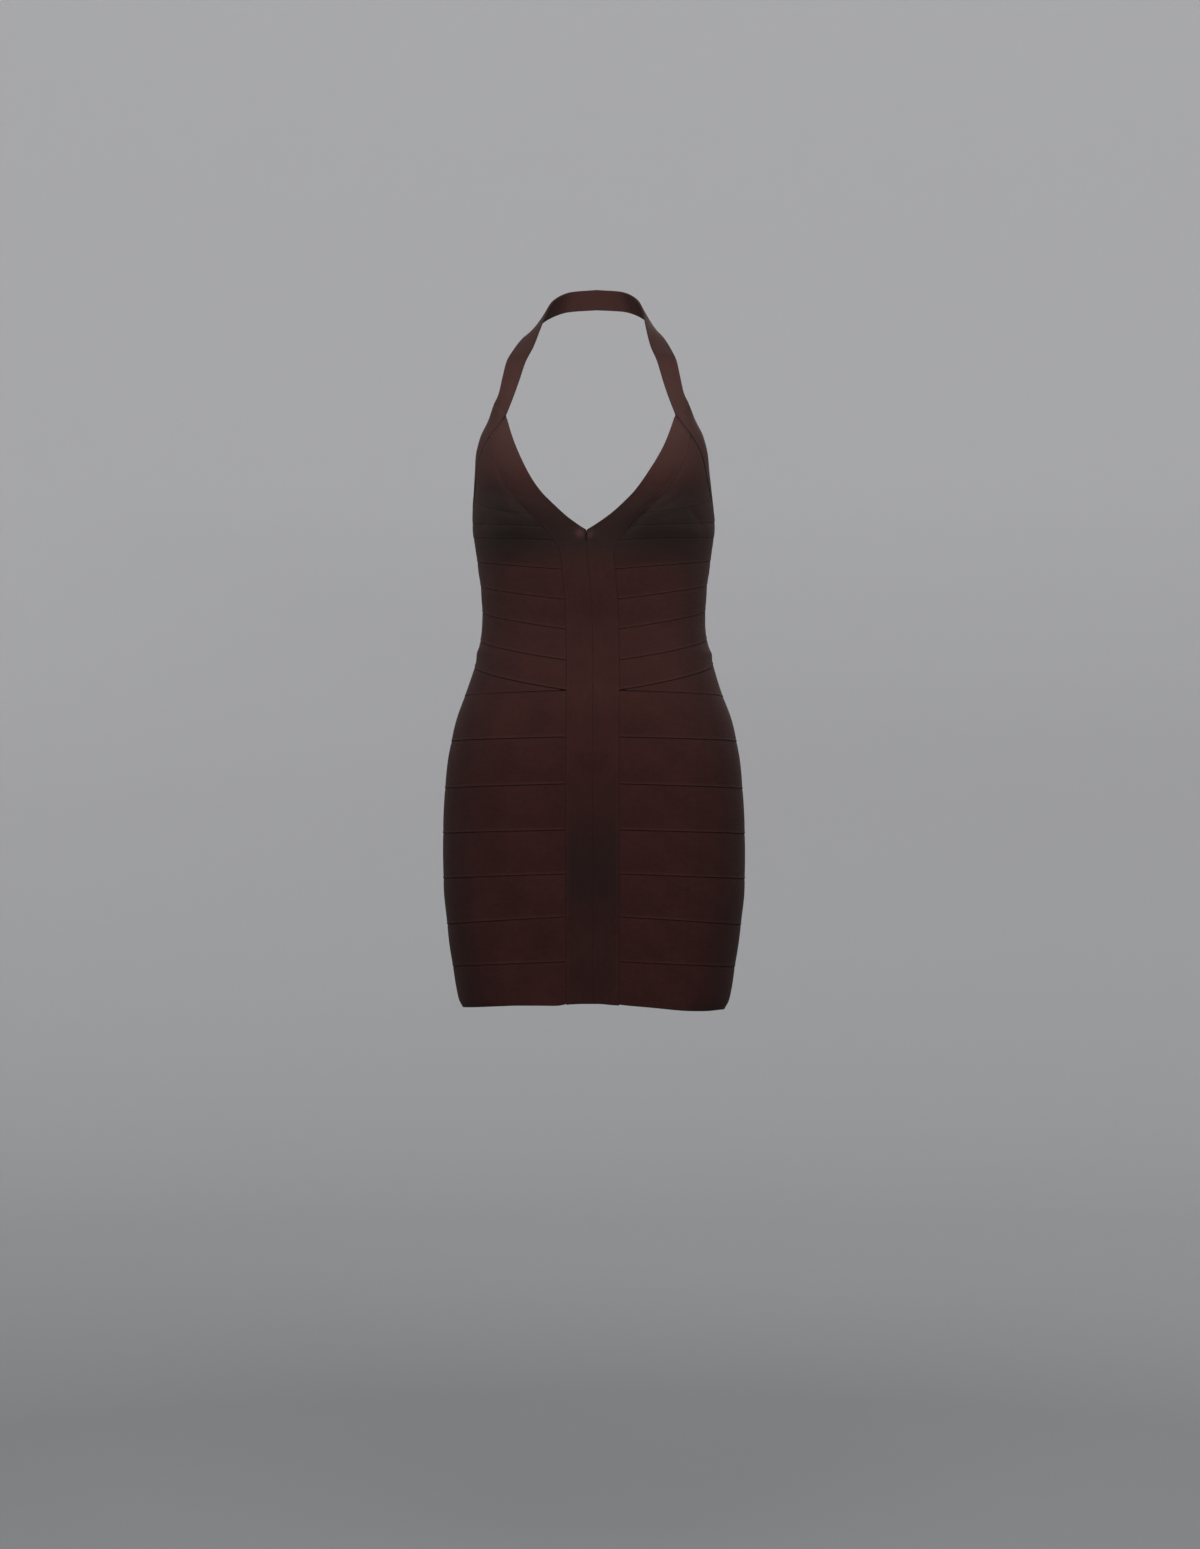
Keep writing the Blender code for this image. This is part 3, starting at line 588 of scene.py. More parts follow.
@dataclass
class Drape:
    """How the worn cloth departs from the plain form: creases, slow waves and seam pucker."""

    form: WornForm
    pucker_reach: float = 5.0 * MM
    nap_fade: float = 9.0 * MM  # how softly the painted shade between the legs ends at the front bands' outer seams
    hem_pull: float = 2.6 * MM  # how far the turned hem draws in
    hem_reach: float = 6.0 * MM
    calm_back: float = 0.05  # no slow waves at the very centre back, where the two halves meet
    taper: float = 0.8  # how bluntly a crease dies away at its ends

    def push(self, walk: Array, z: Array) -> Array:
        """Tell how far out the creases and slow waves move each place.

        Args:
            walk: signed distances round the body.
            z: heights, of the same shape.

        Returns:
            Distances outward, negative in a trough.
        """
        side = np.where(walk < 0, -1.0, 1.0)
        behind = side * (self.form.line(Line.BACK, z) - np.abs(walk))
        total = self._waves(SETTLING, walk, z) * eased(np.abs(behind) / self.calm_back)
        from_hem = np.maximum(z - HEM.side_z, 0.0)
        total -= self.hem_pull * bell(from_hem, self.hem_reach)
        for s, creases in ((walk, FRONT_CREASES), (behind, BACK_CREASES)):
            for crease in creases:
                total -= self._trough(crease, s, z)
        return total

    def _trough(self, crease: Crease, s: Array, z: Array) -> Array:
        """Tell how deep one crease is.

        Args:
            crease: the crease.
            s: distances round from the centre line that it is measured from.
            z: heights, of the same shape.

        Returns:
            Depths, negative on a ridge.
        """
        chord = np.array((crease.end_s - crease.start_s, crease.end_z - crease.start_z))
        reach = float(np.hypot(*chord))
        off_s = s - crease.start_s
        off_z = z - crease.start_z
        along = np.clip((off_s * chord[0] + off_z * chord[1]) / reach**2, 0.0, 1.0)
        across = (off_z * chord[0] - off_s * chord[1]) / reach
        bowed = across - crease.bow * MM * 4 * along * (1 - along)
        taper = np.sin(math.pi * along) ** self.taper
        return crease.depth * MM * taper * bell(bowed, crease.width * MM)

    def pucker(self, walk: Array, z: Array, distance: Array) -> Array:
        """Tell how far out the pull of a seam's thread moves each place near it."""
        return bell(distance, self.pucker_reach) * self._waves(PUCKER, walk, z)

    @staticmethod
    def _waves(table: Sequence[Wave], s: Array, z: Array) -> Array:
        """Add up slow waves at some places."""
        turns = [2 * math.pi * (s / wave.length_s + z / wave.length_z) + wave.phase for wave in table]
        return sum(wave.height * MM * np.sin(turn) for wave, turn in zip(table, turns))

    def nap(self, walk: Array, z: Array) -> Array:
        """Tell how much painted shade darkens the centre front between the legs."""
        across = eased(0.5 - (np.abs(walk) - FRONT_BAND_WIDTH) / self.nap_fade)
        return across * np.clip(LEG_SHADE(z), 0.0, 1.0)


class Edge(Enum):
    """How one border of a piece is finished."""

    OVER = "lies on its neighbour"
    UNDER = "goes in under its neighbour"
    FREE = "turned edge with nothing beside it"
    BUTT = "meets its twin down the centre"


@dataclass(frozen=True)
class EdgeForm:
    """The raised and rolled form of a piece's borders."""

    lip: float = 0.50 * MM
    butt_lip: float = 0.2 * MM
    lip_reach: float = 1.7 * MM
    tuck: float = 0.25 * MM
    tuck_reach: float = 3.4 * MM
    roll: float = 0.70 * MM
    turned: float = 0.25 * MM  # how much a turned edge thickens
    turned_reach: float = 5.0 * MM
    flat_rows: tuple[float, ...] = (0.0, 1.0, 2.2, 3.4, 4.6)  # first rows of points, mm from a border
    round_rows: tuple[float, ...] = (0.0, 0.06, 0.25, 0.55, 0.95, 1.7, 2.8, 4.2)
    fullest: float = 0.8  # the most of a piece's width that these rows may take

    def outer(self, kind: Edge, distance: Array, firmness: float | Array = 1.0) -> Array:
        """Give the outer face's lift near a border.

        Args:
            kind: how the border is finished.
            distance: how far each point is from it.
            firmness: how strongly the seam shows, 1 for a usual one.

        Returns:
            The lift, negative where the face goes in.
        """
        if kind is Edge.UNDER:
            return -self.tuck * firmness * (1.0 - eased(distance / self.tuck_reach))
        rolled = self.rolled(distance)
        if kind is Edge.FREE:
            return self.turned * (1.0 - eased(distance / self.turned_reach)) - rolled
        lip = self.lip if kind is Edge.OVER else self.butt_lip
        return firmness * (lip * bell(distance, self.lip_reach) - rolled)

    def rolled(self, distance: Array) -> Array:
        """Give how far a face falls back over the quarter round at a border."""
        short = 1.0 - np.clip(distance / self.roll, 0.0, 1.0)
        return self.roll * (1.0 - np.sqrt(1.0 - short**2))

    def rows(self, kind: Edge) -> Array:
        """List how far the first rows of points are from a border."""
        return np.array(self.flat_rows if kind is Edge.UNDER else self.round_rows) * MM

    def spaced(self, width: float, low: Edge, high: Edge, step: float) -> Array:
        """Share out points across a piece, closer together near both borders.

        Args:
            width: the piece's usual width.
            low: how its first border is finished.
            high: how its last border is finished.
            step: the widest gap between two points.

        Returns:
            Shares from 0 to 1.
        """
        start, end = self.rows(low), self.rows(high)
        fit = min(1.0, self.fullest * width / (start[-1] + end[-1]))
        start = start * fit / width
        end = 1.0 - end[::-1] * fit / width
        middle = int(math.ceil((end[0] - start[-1]) * width / step))
        between = np.linspace(start[-1], end[0], middle + 1)[1:-1]
        return np.concatenate((start, between, end))


EDGES = EdgeForm()


class HighlightSpot(NamedTuple):
    """A small painted highlight: off the centre line, height, reach and share."""

    x: float
    z: float
    reach: float
    share: float


@dataclass(frozen=True)
class PaintedShading:
    """Where painted shade darkens the knit under the bust and painted light lifts it elsewhere."""

    side_from: float = 0.092  # the painted shade under the bust thins out sideways from here
    side_fade: float = 0.035
    side_loss: float = 0.6
    back_share: float = 0.3  # how much of it goes on round the back
    turning: float = 0.03  # depth in which the front gives way to the back
    band_from: float = -0.2730  # height from which the front bands show less of it
    band_fade: float = 14.0 * MM
    spots: tuple[HighlightSpot, ...] = (  # painted highlights on the raised dimples on both sides of the bar tack
        HighlightSpot(-0.0062, -0.2630, 4.4 * MM, 0.85),
        HighlightSpot(0.0036, -0.2648, 3.2 * MM, 0.75),
    )

    def layers(self, points: Array, band_share: float) -> dict[str, Array]:
        """List how much painted shade and painted light each point of a piece gets.

        Args:
            points: the points of its outer face.
            band_share: how much of the painted bust shade shows in it above the point of the V.

        Returns:
            One number a point, under each name.
        """
        height = points[..., 2]
        off_centre = points[..., 0] - TWIST(height)
        front = eased((AXIS_Y - points[..., 1]) / self.turning + 0.5)
        middle = 1.0 - self.side_loss * eased((np.abs(off_centre) - self.side_from) / self.side_fade)
        above = eased((height - self.band_from) / self.band_fade)
        held = (1.0 + (band_share - 1.0) * above) * (self.back_share + (1.0 - self.back_share) * front)
        tack_highlight = sum(
            spot.share * np.exp(-((off_centre - spot.x) ** 2 + (height - spot.z) ** 2) / spot.reach**2)
            for spot in self.spots
        )
        return {
            "stretched": np.clip(BUST_SHADE(height), 0.0, 1.0) * middle * held,
            "relaxed": np.clip(PAINTED_LIGHT(height), 0.0, 1.0) + tack_highlight * front,
        }


def add_object(name: str, points: Array, faces: Array, material: bpy.types.Material,
               layers: dict[str, Array] | None = None) -> bpy.types.Object:
    """Make a smooth object.

    Args:
        name: its name.
        points: its points.
        faces: its four-cornered faces, as numbers of points.
        material: its material.
        layers: numbers kept for each point, for the material to read.

    Returns:
        The object, in the scene.
    """
    mesh = bpy.data.meshes.new(name)
    mesh.vertices.add(len(points))
    mesh.vertices.foreach_set("co", points.astype(np.float32).ravel())
    mesh.loops.add(faces.size)
    mesh.loops.foreach_set("vertex_index", faces.astype(np.int32).ravel())
    mesh.polygons.add(len(faces))
    mesh.polygons.foreach_set("loop_start", np.arange(0, faces.size, 4, dtype=np.int32))
    mesh.update(calc_edges=True)
    mesh.validate()
    mesh.shade_smooth()
    for label, values in (layers or {}).items():
        many = values.ndim > 1
        layer = mesh.attributes.new(label, "FLOAT_VECTOR" if many else "FLOAT", "POINT")
        padded = np.pad(values, ((0, 0), (0, 3 - values.shape[1]))) if many else values
        layer.data.foreach_set("vector" if many else "value", padded.astype(np.float32).ravel())
    mesh.materials.append(material)
    thing = bpy.data.objects.new(name, mesh)
    bpy.context.scene.collection.objects.link(thing)
    return thing


@dataclass
class ClothGrid:
    """A piece of cloth as rows going up and columns going round, ready to be made a shell."""

    name: str
    outer: Array
    inner: Array
    weave: Array  # metres along and across the piece, for the knit
    groove: Array  # 1 in a seam, 0 away from it, where painted shade darkens the crack
    nap: Array  # 1 where painted shade darkens the centre front between the legs
    ridge: Array  # 1 along the crest of a linked edge's lip, where a painted highlight lightens it
    band_share: float = 1.0  # how much of the painted bust shade shows in it above the point of the V

    def shell(self, material: bpy.types.Material) -> bpy.types.Object:
        """Close the two faces into one thin wall.

        Args:
            material: its knit.

        Returns:
            The object, named after the piece and its cloth.
        """
        rows, columns = self.outer.shape[:2]
        count = rows * columns
        points = np.concatenate((self.outer.reshape(-1, 3), self.inner.reshape(-1, 3)))
        index = np.arange(count).reshape(rows, columns)
        a, b, c, d = index[:-1, :-1], index[:-1, 1:], index[1:, 1:], index[1:, :-1]
        loop = np.concatenate((index[0, :], index[1:, -1], index[-1, -2::-1], index[-2:0:-1, 0]))
        after = np.roll(loop, -1)
        border = quads(after, loop, loop + count, after + count)
        faces = np.concatenate((quads(a, b, c, d), quads(a, d, c, b) + count, border))
        layers = {name: getattr(self, name) for name in ("weave", "groove", "nap", "ridge")}
        layers |= PaintedShading().layers(self.outer, self.band_share)
        doubled = {
            name: np.concatenate((values.reshape((count, *values.shape[2:])),) * 2)
            for name, values in layers.items()
        }
        return add_object(self.name + "_cloth", points, faces, material, doubled)


class Side(Enum):
    """Which half of the body a paired piece is on."""

    RIGHT = 1
    LEFT = -1


class Border(NamedTuple):
    """One border of a piece: how it is finished, how far each point is from it, how it shows."""

    kind: Edge
    distance: Array
    firmness: float | Array = 1.0

    def mirrored(self) -> "Border":
        """Run its columns the other way."""
        firmness = np.broadcast_to(self.firmness, self.distance.shape)[:, ::-1]
        return Border(self.kind, self.distance[:, ::-1], firmness)


class Pattern(NamedTuple):
    """A piece before it is laid on the form: rows by columns of places on it."""

    name: str
    walk: Array
    z: Array
    borders: list[Border]
    crown: Array  # how far each point stands out with the band's own roundness
    weave: Array

    def on(self, side: Side) -> "Pattern":
        """Give the pattern for one side, its columns always in the same order round the body.

        Args:
            side: the half of the body.

        Returns:
            The pattern, mirrored for the left half.
        """
        if side is Side.RIGHT:
            return self
        crown, weave = self.crown[:, ::-1], self.weave[:, ::-1]
        borders = [border.mirrored() for border in self.borders]
        return Pattern(self.name, -self.walk[:, ::-1], self.z[:, ::-1], borders, crown, weave)


@dataclass
class Dressmaker:
    """Lays flat pieces of band on the worn form."""

    form: WornForm
    drape: Drape
    groove_reach: float = 0.8 * MM
    ridge_at: float = 1.5 * MM
    ridge_reach: float = 0.9 * MM

    def lay(self, pattern: Pattern) -> ClothGrid:
        """Lift a piece onto the form and finish its borders.

        Args:
            pattern: the piece.

        Returns:
            The piece, outside and inside.
        """
        walk, z = pattern.walk, pattern.z
        base = self.form.place(walk, z)
        normal = self.form.facing(walk, z)
        push = self.drape.push(walk, z)
        lift = pattern.crown + push
        seam = np.full(walk.shape, 1.0)
        sink, groove, ridge = np.zeros((3, *walk.shape))
        for kind, distance, firmness in pattern.borders:
            lift = lift + EDGES.outer(kind, distance, firmness)
            if kind is Edge.FREE:
                sink = np.maximum(sink, EDGES.rolled(distance))
                continue
            seam = np.minimum(seam, distance)
            groove = np.maximum(groove, firmness * bell(distance, self.groove_reach))
            if kind is Edge.OVER:
                ridge = np.maximum(ridge, firmness * self.lip_highlight(distance))
        lift = lift + self.drape.pucker(walk, z, seam)
        outer, inner = self.faces(base, normal, lift, push - WALL + sink)
        return ClothGrid(pattern.name, outer, inner, pattern.weave, groove, self.drape.nap(walk, z), ridge)

    @staticmethod
    def faces(base: Array, normal: Array, lift: Array, inside: Array) -> list[Array]:
        """Give the outer and the inner face, never quite touching each other."""
        outside = np.maximum(lift, inside + THINNEST)
        return [base + normal * out[..., None] for out in (outside, inside)]

    def lip_highlight(self, distance: Array) -> Array:
        """Tell how much a painted highlight lightens the crest of a linked edge's lip."""
        return bell(distance - self.ridge_at, self.ridge_reach)


def crown_at(share: Array) -> Array:
    """Tell how far a band stands out at a share of its width."""
    return CROWN * 4.0 * share * (1.0 - share)


def both_halves(half: Array) -> tuple[Array, Array]:
    """Carry shares round the right half on round the left one, with the sign of each side."""
    signs = np.concatenate((np.ones(len(half)), -np.ones(len(half) - 1)))
    return np.concatenate((half, half[-2::-1])), signs


@dataclass
class BandRings:
    """The bands that go round the body from one front band to the other."""

    maker: Dressmaker
    column_step: float = 2.6 * MM
    row_step: float = 3.0 * MM
    free_fade: float = 4.0 * MM  # how soon past the strap the upper border is free
    first_columns: tuple[float, ...] = (0.0, 1.0, 2.0, 3.2, 4.5)  # mm from the front band

    def build(self, name: str, top: Seam, low: Seam) -> ClothGrid:
        """Lay one band.

        Args:
            name: the piece's name.
            top: the seam over it.
            low: the seam or the hem under it.

        Returns:
            The piece.
        """
        form = self.maker.form
        low_kind = Edge.FREE if low is HEM else Edge.OVER
        share, side = both_halves(self._shares(low.first_share))
        across = EDGES.spaced(abs(top.side_z - low.side_z), low_kind, Edge.UNDER, self.row_step)[:, None]
        height = top(share) - low(share)
        z = low(share) + height * across
        right = form.share_walk(share * np.ones_like(z), z)
        start = form.share_walk(np.full(z.shape, low.first_share), z)
        borders = [
            Border(low_kind, height * across, low.firmness),
            Border(Edge.UNDER, right - start, FRONT_BAND_FIRMNESS),
        ]
        along = running(np.hypot(np.diff(right[0]), np.diff(z[0])))
        weave = np.stack((np.broadcast_to(along, z.shape), height * across), axis=-1)
        pattern = Pattern(name, right * side, z, borders, crown_at(across), weave)
        from_top = height * (1.0 - across)
        sewn, loose = (
            self.maker.lay(pattern._replace(borders=[*borders, Border(kind, from_top, top.firmness)]))
            for kind in (Edge.UNDER, Edge.FREE)
        )
        if top is UNDER_CUP_TOP:  # its upper border is sewn at the front and free across the back
            free = eased((np.abs(pattern.walk) - form.line(Line.ARM, z) - STRAP_WIDTH) / self.free_fade)
            for layer, share in (("outer", free[..., None]), ("inner", free[..., None]), ("groove", free)):
                setattr(sewn, layer, getattr(sewn, layer) * (1 - share) + getattr(loose, layer) * share)
        return sewn

    def _shares(self, first: float) -> Array:
        """List the columns of the right half, closer together at the front band.

        Args:
            first: the share at which the band starts.

        Returns:
            Shares from there to the centre back.
        """
        start = np.array(self.first_columns) * MM / HALF_ROUND * BACK_SHARE
        count = int((BACK_SHARE - first) / BACK_SHARE * HALF_ROUND / self.column_step)
        rest = np.linspace(first + start[-1], BACK_SHARE, count)[1:]
        return np.concatenate((first + start, rest))


class Panel(Enum):
    """The two pieces between the neck band and the strap."""

    CUP = "cup"
    BAND = "upper_bust_band"


@dataclass
class BustPanels:
    """The cups and the bands under them, between the neck band and the strap."""

    maker: Dressmaker
    settle_rounds: int = 8
    row_step: float = 2.6 * MM
    usual_width: float = 0.078
    cup_height: float = 0.070
    band_height: float = 0.022

    def build(self, panel: Panel, side: Side) -> ClothGrid:
        """Lay a cup or the band under it.

        Args:
            panel: which of the two.
            side: the half of the body.

        Returns:
            The piece.
        """
        cup = panel is Panel.CUP
        form = self.maker.form
        across = EDGES.spaced(self.usual_width, Edge.UNDER, Edge.UNDER, self.row_step)
        usual_height = self.cup_height if cup else self.band_height
        rows = EDGES.spaced(usual_height, Edge.OVER, Edge.UNDER, self.row_step)
        share, row = np.meshgrid(across, rows)
        (walk, z), (low_walk, low_z), (top_walk, top_z) = (
            self.settled(share, at, panel) for at in (row, row * 0, row * 0 + 1)
        )
        borders = [
            Border(Edge.UNDER, walk - form.line(Line.SEAM, z), NECK_BAND_FIRMNESS),
            Border(Edge.UNDER, form.line(Line.ARM, z) - walk, STRAP_FIRMNESS),
            Border(
                Edge.OVER, np.hypot(walk - low_walk, z - low_z),
                CUP_FIRMNESS if cup else UNDER_CUP_TOP.firmness,
            ),
            Border(Edge.UNDER, np.hypot(top_walk - walk, top_z - z), CUP_FIRMNESS),
        ]
        crown = 0.0 * row if cup else crown_at(row)
        weave = np.stack((walk, z - low_z[:1]), axis=-1)
        pattern = Pattern(f"{panel.value}_{side.name.lower()}", walk, z, borders, crown, weave)
        return self.maker.lay(pattern.on(side))

    def settled(self, share: Array, row: Array, panel: Panel) -> tuple[Array, Array]:
        """Settle heights and walks that depend on each other, in a few rounds.

        Args:
            share: 0 at the neck band, 1 at the strap seam.
            row: 0 on the lower seam, 1 on the upper one.
            panel: the cup or the band under it.

        Returns:
            The walked distances and the heights.
        """
        form, cup = self.maker.form, panel is Panel.CUP
        round_share = share
        for _ in range(self.settle_rounds):
            arc = CUP_ARC(round_share)
            low = arc if cup else UNDER_CUP_TOP(round_share)
            top = CUP_TOP_Z + share * (NECK_SEAM_TOP_Z - CUP_TOP_Z) if cup else arc
            z = low + (top - low) * row
            start = form.line(Line.SEAM, z)
            walk = start + share * (form.line(Line.ARM, z) - start)
            round_share = form.share_at(walk, z)
        return walk, z


@dataclass
class FrontBands:
    """The two bands that follow the neckline and run on down the centre front to the hem."""

    maker: Dressmaker
    row_step: float = 2.2 * MM
    column_step: float = 2.6 * MM
    hem_drop: float = 0.9 * MM  # how much lower their ends hang
    hem_fade: float = 6.0 * MM
    band_share: float = 0.70  # how much of the painted bust shade shows in them above the point of the V
    tacked: float = 12.0 * MM  # how far down from the V the centre seam is drawn in hard
    tack_fade: float = 4.0 * MM
    parting: float = 2.0 * MM  # the height in which the centre seam gives way to the neckline
    corner_steps: tuple[float, ...] = (0.35, 0.7, 1.0)  # the last rows, up to the slant of the strap

    def build(self, side: Side) -> ClothGrid:
        """Lay one band.

        Args:
            side: the half of the body.

        Returns:
            The piece.
        """
        form = self.maker.form
        hem_z = HEM.front_z
        count = int((CUP_TOP_Z - hem_z) / self.row_step)
        hem_rows = EDGES.rows(Edge.FREE)
        seam_z = np.concatenate((hem_z + hem_rows, np.linspace(hem_z + hem_rows[-1], CUP_TOP_Z, count)[1:]))
        across = EDGES.spaced(FRONT_BAND_WIDTH, Edge.FREE, Edge.OVER, self.column_step)
        inner_z = ROW_SLANT(seam_z)
        inner_walk = form.line(Line.NECK, inner_z)
        outer_walk = form.line(Line.SEAM, seam_z)
        walk = inner_walk[:, None] + across * (outer_walk - inner_walk)[:, None]
        z = inner_z[:, None] + across * (seam_z - inner_z)[:, None]
        end_z = NECK_BAND_TOP_Z + (NECK_SEAM_TOP_Z - NECK_BAND_TOP_Z) * across
        end_walk = form.line(Line.ARM, end_z)
        steps = np.array(self.corner_steps)[:, None]
        walk = np.concatenate((walk, walk[-1] + (end_walk - walk[-1]) * steps))
        z = np.concatenate((z, z[-1] + (end_z - z[-1]) * steps))
        width = np.hypot(walk[:, -1] - walk[:, 0], z[:, -1] - z[:, 0])[:, None]
        from_centre = across * width
        from_hem = np.maximum(z - hem_z, 0.0)
        from_strap = np.hypot(walk - end_walk, z - end_z)
        z = z - self.hem_drop * np.exp(-from_hem / self.hem_fade)
        # the inner border is sewn to its twin below the V and free above: where it isn't the one
        # or the other, that border is taken to be a metre away
        neckline = eased((z[:, :1] - POINT_OF_V_Z + self.parting / 2) / self.parting)
        tacked = eased((z - POINT_OF_V_Z + self.tacked) / self.tack_fade)
        borders = [
            Border(Edge.OVER, (1.0 - across) * width, FRONT_BAND_FIRMNESS),
            Border(Edge.FREE, from_hem),
            Border(Edge.UNDER, from_strap, STRAP_FIRMNESS),
            Border(Edge.FREE, from_centre + (1.0 - neckline)),
            Border(Edge.BUTT, from_centre + neckline, CENTRE_FIRMNESS + (1.0 - CENTRE_FIRMNESS) * tacked),
        ]
        middle = len(across) // 2
        along = running(np.hypot(np.diff(walk[:, middle]), np.diff(z[:, middle])))
        weave = np.stack((along[:, None] * np.ones_like(across), from_centre), axis=-1)
        name = f"neck_front_band_{side.name.lower()}"
        laid = self.maker.lay(Pattern(name, walk, z, borders, crown_at(across)[None, :], weave).on(side))
        laid.band_share = self.band_share
        return laid


@dataclass
class HalterStrap:
    """The strap from underarm to underarm round the neck."""

    maker: Dressmaker
    bust: BustPanels
    row_step: float = 1.8 * MM
    column_step: float = 2.0 * MM
    steps_per_station: int = 12
    slope_step: float = 0.010  # the height over which the seam's slope is read
    smoothing: int = 3  # rounds of evening out for the way that the strap faces
    evening: int = 80  # the same for its free edge
    turn_row: float = 0.5  # the height on the bust band below which the strap's end turns level

    def build(self) -> ClothGrid:
        """Lay the strap, its free part through its stations and its sewn part on the form.

        Returns:
            The piece.
        """
        maker = self.maker
        across = EDGES.spaced(STRAP_WIDTH, Edge.OVER, Edge.FREE, self.column_step)
        sewn_walk, sewn_z = self._sewn(across)
        sewn = maker.form.place(sewn_walk, sewn_z)
        free = self._free(sewn[0])
        # from here on the rows run from one end round the neck to the other
        base, push, stitched = (
            np.concatenate((np.concatenate((before, after))[:0:-1] * mirror, before, after))
            for before, after, mirror in (
                (free, sewn, (-1.0, 1.0, 1.0)),
                (np.zeros(free.shape[:2]), maker.drape.push(sewn_walk, sewn_z), 1.0),
                (np.zeros((len(free), 1)), np.ones((len(sewn), 1)), 1.0),
            )
        )
        fade = self._smoothed(stitched, self.smoothing)
        normal = np.cross(np.gradient(base, axis=0), np.gradient(base, axis=1))
        normal = self._smoothed(normal / np.maximum(lengths(normal), TINY), self.smoothing)
        normal = normal / lengths(normal)
        width = lengths(base[:, -1:] - base[:, :1])[..., 0]
        from_inner = across * width
        from_outer = (1.0 - across) * width
        rise = lengths(np.diff(base[:, len(across) // 2], axis=0))[:, 0]
        along = running(rise)[:, None] * np.ones_like(across)
        lift = crown_at(across) + push + EDGES.outer(Edge.FREE, from_outer)
        lift = lift + fade * EDGES.outer(Edge.OVER, from_inner)
        lift = lift + (1.0 - fade) * EDGES.outer(Edge.FREE, from_inner)
        lift = lift + EDGES.outer(Edge.OVER, np.minimum(along, along[-1] - along))
        sink = np.maximum(EDGES.rolled(from_outer), (1.0 - fade) * EDGES.rolled(from_inner))
        outer, inner = maker.faces(base, normal, lift, push - WALL + sink)
        weave = np.stack((along, from_inner), axis=-1)
        groove = fade * bell(from_inner, maker.groove_reach)
        nap = np.zeros(groove.shape)
        return ClothGrid("halter_strap", outer, inner, weave, groove, nap, fade * maker.lip_highlight(from_inner))

    @staticmethod
    def _smoothed(values: Array, rounds: int, lean: float = 0.0) -> Array:
        """Even out a run of rows, so that the strap turns without a kink.

        Args:
            values: numbers or vectors, rows first.
            rounds: how often each row is drawn toward its neighbours.
            lean: 1 where the ends go on in their own direction, 0 where they stay level.

        Returns:
            The evened rows.
        """
        for _ in range(rounds):
            first = values[:1] + lean * (values[:1] - values[1:2])
            last = values[-1:] + lean * (values[-1:] - values[-2:-1])
            before, after = np.concatenate((first, values[:-1])), np.concatenate((values[1:], last))
            values = (before + 2 * values + after) / 4
        return values

    def _sewn(self, across: Array) -> tuple[Array, Array]:
        """Place the rows that are sewn to the neck band, cup and bust band, going down.

        Args:
            across: the columns' shares of the width, from the sewn edge.

        Returns:
            The walked distances and the heights.
        """
        form = self.maker.form
        one = np.ones((1, 1))
        end, turn = (
            float(self.bust.settled(one, one * row, Panel.BAND)[1][0, 0]) for row in (0.0, self.turn_row)
        )
        count = int((NECK_BAND_TOP_Z - end) / self.row_step)
        z = np.linspace(NECK_BAND_TOP_Z, end, count)[:, None]
        step = self.slope_step
        drift = form.line(Line.ARM, z - step) - form.line(Line.ARM, z + step)
        length = np.hypot(drift, 2 * step)
        width = SEAM_GAP / 2 + across * STRAP_WIDTH
        walk = form.line(Line.ARM, z) + width * 2 * step / length
        height = z + width * drift / length
        level_walk = form.line(Line.ARM, z) + width
        level_share = np.minimum(form.share_at(level_walk, z * np.ones_like(width)), BACK_SHARE)
        level_z = UNDER_CUP_TOP(level_share) + SEAM_GAP / 2 + (z - end)
        turned_in = eased((turn - z) / (turn - end))
        walk = walk + (level_walk - walk) * turned_in
        height = height + (level_z - height) * turned_in
        # the free edge is evened out, the ends and the sewn edge stay where they are
        even = (self._smoothed(rows, self.evening, 1.0) for rows in (walk, height))
        return tuple(rows + (smooth - rows) * across for rows, smooth in zip((walk, height), even))

    def _free(self, first_sewn: Array) -> Array:
        """Place the rows from the nape down to where the strap meets the dress.

        Args:
            first_sewn: the first row that is sewn on, which the free rows run into.

        Returns:
            Rows by columns of points.
        """
        rows = [*STRAP_STATIONS, StrapStation(*first_sewn[0], *first_sewn[-1])]
        at = np.arange(self.steps_per_station * len(STRAP_STATIONS)) / self.steps_per_station
        ends = np.stack([SmoothTable.of(*enumerate(column))(at) for column in zip(*rows)], axis=-1)
        upper, lower = ends[:, None, :3], ends[:, None, 3:]
        width = np.linalg.norm(first_sewn[-1] - first_sewn[0])
        share = lengths(first_sewn - first_sewn[0])[:, 0] / width
        return upper + (lower - upper) * share[None, :, None]


class SeamPath(NamedTuple):
    """The line of one seam on the form, and how strongly it shows."""

    walk: Array
    z: Array
    firmness: float


